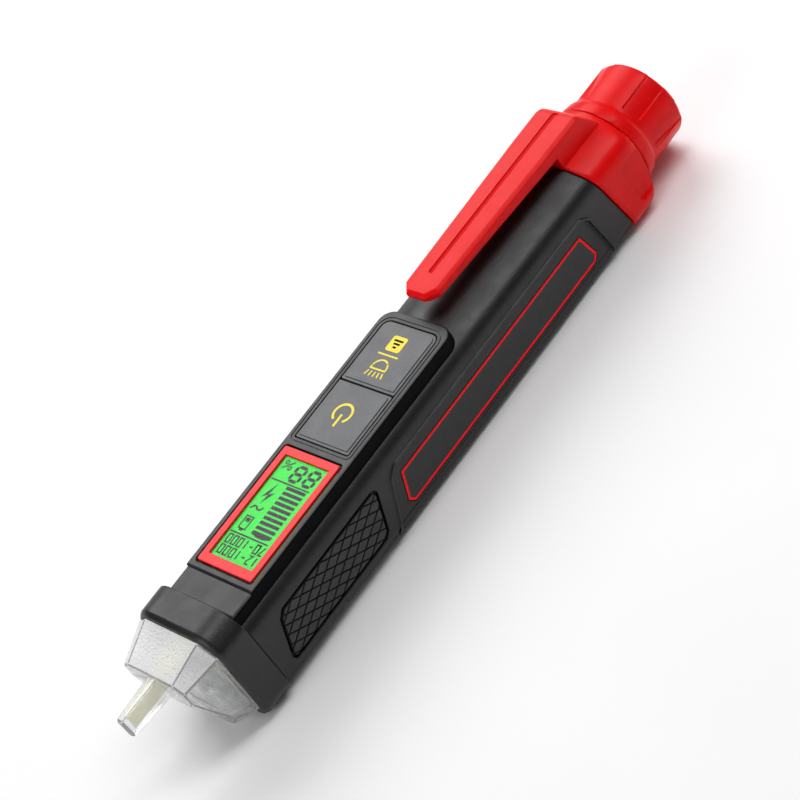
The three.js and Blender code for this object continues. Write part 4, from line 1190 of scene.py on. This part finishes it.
def build_collar():
    """The collar and its clip are one moulding. Edge loops are cut across the clip's root, where it would
    bend when its tip is lifted.
    """
    collar = collar_shell()
    socket = stack("socket", "x", body_section(SOCKET), [(0, 100), (0, 118.5)])
    bore_radius, seat_radius, seat_front = 7.55, 8.3, 122.15
    bore = stack("bore", "x", circle((0, 0), bore_radius, 96), [(0, 110), (0, 130)])
    seat = stack("seat", "x", circle((0, 0), seat_radius, 96), [(0, seat_front), (0, 130)])
    cut(collar, socket, bore, seat)
    dish = rounded([(117.3, 3.9), (116.7, 2.6), (118.4, -5.8), (119.2, -6.4), (126, -6.4), (126, 3.9)],
                   [0.6, 0.6, 0.6, 0.6, 0, 0])
    face, depth, bottom_corner = BODY_HALF + FLANGE, 0.7, 0.15
    floor = [(-bottom_corner, face - depth), (0, face - depth + bottom_corner)]
    steps = [*floor, *mouth(face, 0.12), (0.12, face + 3)]
    for side in (-1, 1):
        cut(collar, sideways("dish", side, dish, steps))
    unite(collar, clip_bar())
    groove_plan = rectangle(GROOVE_FRONT, BOSS_END - 0.6, -GROOVE_HALF, GROOVE_HALF)
    groove = rounded(groove_plan, GROOVE_HALF * 0.95, 6)
    top = CLIP_HIGH.z
    steps = [(-0.2, top - GROOVE_DEPTH), (0, top - GROOVE_DEPTH + 0.15), *mouth(top, 0.12), (0.12, top + 2)]
    cut(collar, stack("groove", "z", groove, steps))
    bend_front, bend_back = 103, CLIP_ROOT - 0.5
    slice_across(collar, [lerp(bend_front, bend_back, i / 10) for i in range(11)])
    settle(collar, None, "red_plastic")
    start, end = (TO_ROW @ Vector((x, 0, CLIP_HIGH.z - 1.5)) for x in (bend_back, bend_front))
    tuple(start)
    tuple(end)
    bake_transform(collar)
    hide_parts("tail_collar", "pocket_clip")


# ---- cap ----


def smooth_step(value, low, high):
    t = min(1, max(0, (value - low) / (high - low)))
    return t * t * (3 - 2 * t)


def signed_turn(degrees):
    """The same turn as an angle from -180 to 180."""
    return (degrees + 180) % 360 - 180


def recess_starts():
    """The angle at which each finger recess starts."""
    return [start + turn for turn in (0, 120, 240) for start in RECESS_STARTS]


def recess_depth(x, angle):
    """How deep the knob's finger recesses are at x and angle (degrees)."""
    depth, wall, corner, front = 0.62, 0.24, 0.7, KNOB_RECESS_FRONT
    half = RECESS_SPAN / 2 * math.radians(1) * KNOB_RADIUS
    deepest = 0
    along = front + corner - x
    for start in recess_starts():
        off = signed_turn(angle - start - RECESS_SPAN / 2)
        across = abs(math.radians(off)) * KNOB_RADIUS - (half - corner)
        distance = math.hypot(max(across, 0), max(along, 0)) + min(max(across, along), 0) - corner
        deepest = max(deepest, depth * smooth_step(-distance, 0, wall))
    return deepest * (1 - 0.75 * smooth_step(x, front + 2, CAP_HIGH.x - 1))


def knob_angles():
    """Angles round the knob in degrees, closer together at the recess walls."""
    fine, coarse, least_gap = 0.45, 3.0, 1.2
    angles = set()
    for start in recess_starts():
        for wall, way in ((start, 1), (start + RECESS_SPAN, -1)):
            for k in range(-1, 13):
                angles.add(round((wall + way * k * fine) % 360, 3))
    for k in range(120):
        angle = k * coarse
        if all(abs(signed_turn(angle - a)) > least_gap for a in angles):
            angles.add(angle)
    return sorted(angles)


def build_cap():
    end = CAP_HIGH.x
    spigot = CAP_LOW.x
    bore = 5.7
    outside = [
        (spigot, bore), (spigot, SPIGOT_RADIUS - 0.3), (spigot + 0.3, SPIGOT_RADIUS),
        (FLANGE_FRONT, SPIGOT_RADIUS), (FLANGE_FRONT, FLANGE_RADIUS - 0.3),
        (FLANGE_FRONT + 0.1, FLANGE_RADIUS - 0.1), (FLANGE_FRONT + 0.35, FLANGE_RADIUS),
        (FLANGE_BACK - 0.7, 9.95), (FLANGE_BACK - 0.3, 9.8), (FLANGE_BACK, 9.55), (FLANGE_BACK + 0.25, 9.33),
        (FLANGE_BACK + 0.7, KNOB_RADIUS)]
    end_round, flattening = 0.9, 0.7 / 0.9
    knob = [KNOB_RECESS_FRONT - 0.1]
    knob += [KNOB_RECESS_FRONT + 0.09 * k for k in range(12)]
    knob += [KNOB_RECESS_FRONT + 1.4, 132, 134.5, end - end_round]
    outside += [(x, KNOB_RADIUS) for x in knob]
    outside += [(end - short, KNOB_RADIUS - flattening * inset) for short, inset in fillet(end_round, 5)[1:]]
    dish_face, hollow_end, axis = end - 0.35, 128.6, 0.02
    outside += [(end, 7.6), (dish_face, 7.2), (dish_face, axis), (hollow_end, axis), (hollow_end, bore)]
    outer_count = len(outside) - 4

    rings = []
    for angle in knob_angles():
        t = math.radians(angle)
        ring = []
        for i, (x, radius) in enumerate(outside):
            r = radius
            if radius > KNOB_RADIUS - 0.75 and FLANGE_BACK + 1 < x and i < outer_count:
                r -= recess_depth(x, angle)
            ring.append((x, r * math.cos(t), r * math.sin(t)))
        rings.append(ring)
    cap = loft("cap", rings, looped=True)

    pitch, turns, steps = 2, 1.75, 120
    thread_height, foot, crest, sunk, run_in = 0.5, 0.5, 0.18, 0.2, 12
    thread = []
    for i in range(steps + 1):
        share = i / steps
        angle = 2 * math.pi * turns * share
        x = spigot + 0.9 + pitch * turns * share
        height = thread_height * min(1, share * run_in, (1 - share) * run_in) + 0.02
        section = ((-foot, -sunk), (-crest, height), (crest, height), (foot, -sunk))
        ring = [(x + dx, SPIGOT_RADIUS + dr) for dx, dr in section]
        thread.append([(along, r * math.cos(angle), r * math.sin(angle)) for along, r in ring])
    joined(cap, loft("thread", thread))
    settle(cap, "cap", "red_plastic", ["tail_cap"], 40)

    middle = ((SEAL_LOW.x + SEAL_HIGH.x) / 2, SEAL_HIGH.y - 0.5)
    seal = turned("cap_ring", circle(middle, 0.5, 20), 96)
    settle(seal, "cap", "seal_rubber", ["cap_seal"])


# ---- carried-over CAD parts ----


def paint_cad_nodes():
    finishes = {
        "screw_steel": [f"cover_screw_{i}" for i in range(1, 5)],
        "diffuser": ["lcd_backlight"],
        "seal_rubber": ["power_switch_plunger", "light_switch_plunger"],
        "nickel": ["power_switch_base", "light_switch_base", "front_contact", "return_strip", "cap_contact",
                   "battery_spring"],
        "cream_board_painted_glow": ["nose_sensor"],
        "circuit_board": ["main_board"],
        "white_board": ["nose_board"],
        "led_epoxy": ["torch_led"],
        "reflector_chrome": ["torch_reflector"],
        "warning_epoxy": ["warning_led"],
        "buzzer_case": ["buzzer"],
        "cradle_plastic": ["battery_cradle"],
        "cell_sleeve": ["battery_front", "battery_rear"],
    }
    slots = {"white_board": "circuit_board", "cream_board_painted_glow": "sensor_cream"}
    for paint, names in finishes.items():
        for name in names:
            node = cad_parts[name]
            node.data.materials.clear()
            node.data.materials.append(PAINT[paint])
            slots.get(paint, paint)


# ---- studio ----


def build_studio():
    floor_size, floor_drop = 6, 0.0003
    bpy.ops.mesh.primitive_plane_add(size=floor_size, location=(0, 0, -floor_drop))
    floor = bpy.context.object
    floor.name = "floor"
    floor.data.materials.append(PAINT["pale_floor"])

    def softbox(name, place, size, power):
        light = bpy.data.lights.new(name, "AREA")
        light.shape = "RECTANGLE"
        light.size, light.size_y = size
        light.energy = power
        lamp = placed(name, light)
        lamp.location = place
        lamp.rotation_euler = (-Vector(place)).to_track_quat("-Z", "Y").to_euler()

    softbox("back_softbox", (0.35, 0.62, 0.62), (0.9, 0.55), 6.0)
    softbox("top_softbox", (0.33, -0.16, 0.94), (0.3, 1.0), 5.0)
    softbox("nose_softbox", (-0.8, 0.05, 0.45), (0.5, 0.5), 2.2)
    world = bpy.data.worlds.new("studio")
    bpy.context.scene.world = world
    world.use_nodes = True
    background = world.node_tree.nodes["Background"]
    background.inputs["Color"].default_value = (1, 1, 1, 1)
    background.inputs["Strength"].default_value = 0.18


def build_camera():
    """Above the nose, looking along the pen at its left side, with the pen's axis tilted in the view."""
    place = PEN_ORIGIN + Vector((-84.4, -291.2, 292.6)) * MM
    right = Vector((0.5763, -0.7020, -0.4183))
    back = Vector((-0.3297, -0.6681, 0.6670))
    up = back.cross(right)
    camera_data = bpy.data.cameras.new("camera")
    camera_data.lens = 110.43
    camera_data.sensor_width = 36
    camera = placed("camera", camera_data)
    camera.matrix_world = Matrix.Translation(place) @ Matrix((right, up, back)).transposed().to_4x4()
    bpy.context.scene.camera = camera
    bpy.context.scene.view_settings.view_transform = "Standard"


for build in (build_body, build_band, build_nose, build_bezel, build_display, build_lcd_marks, build_keys,
              build_icons, build_sides, build_collar, build_cap, paint_cad_nodes, build_studio, build_camera):
    build()
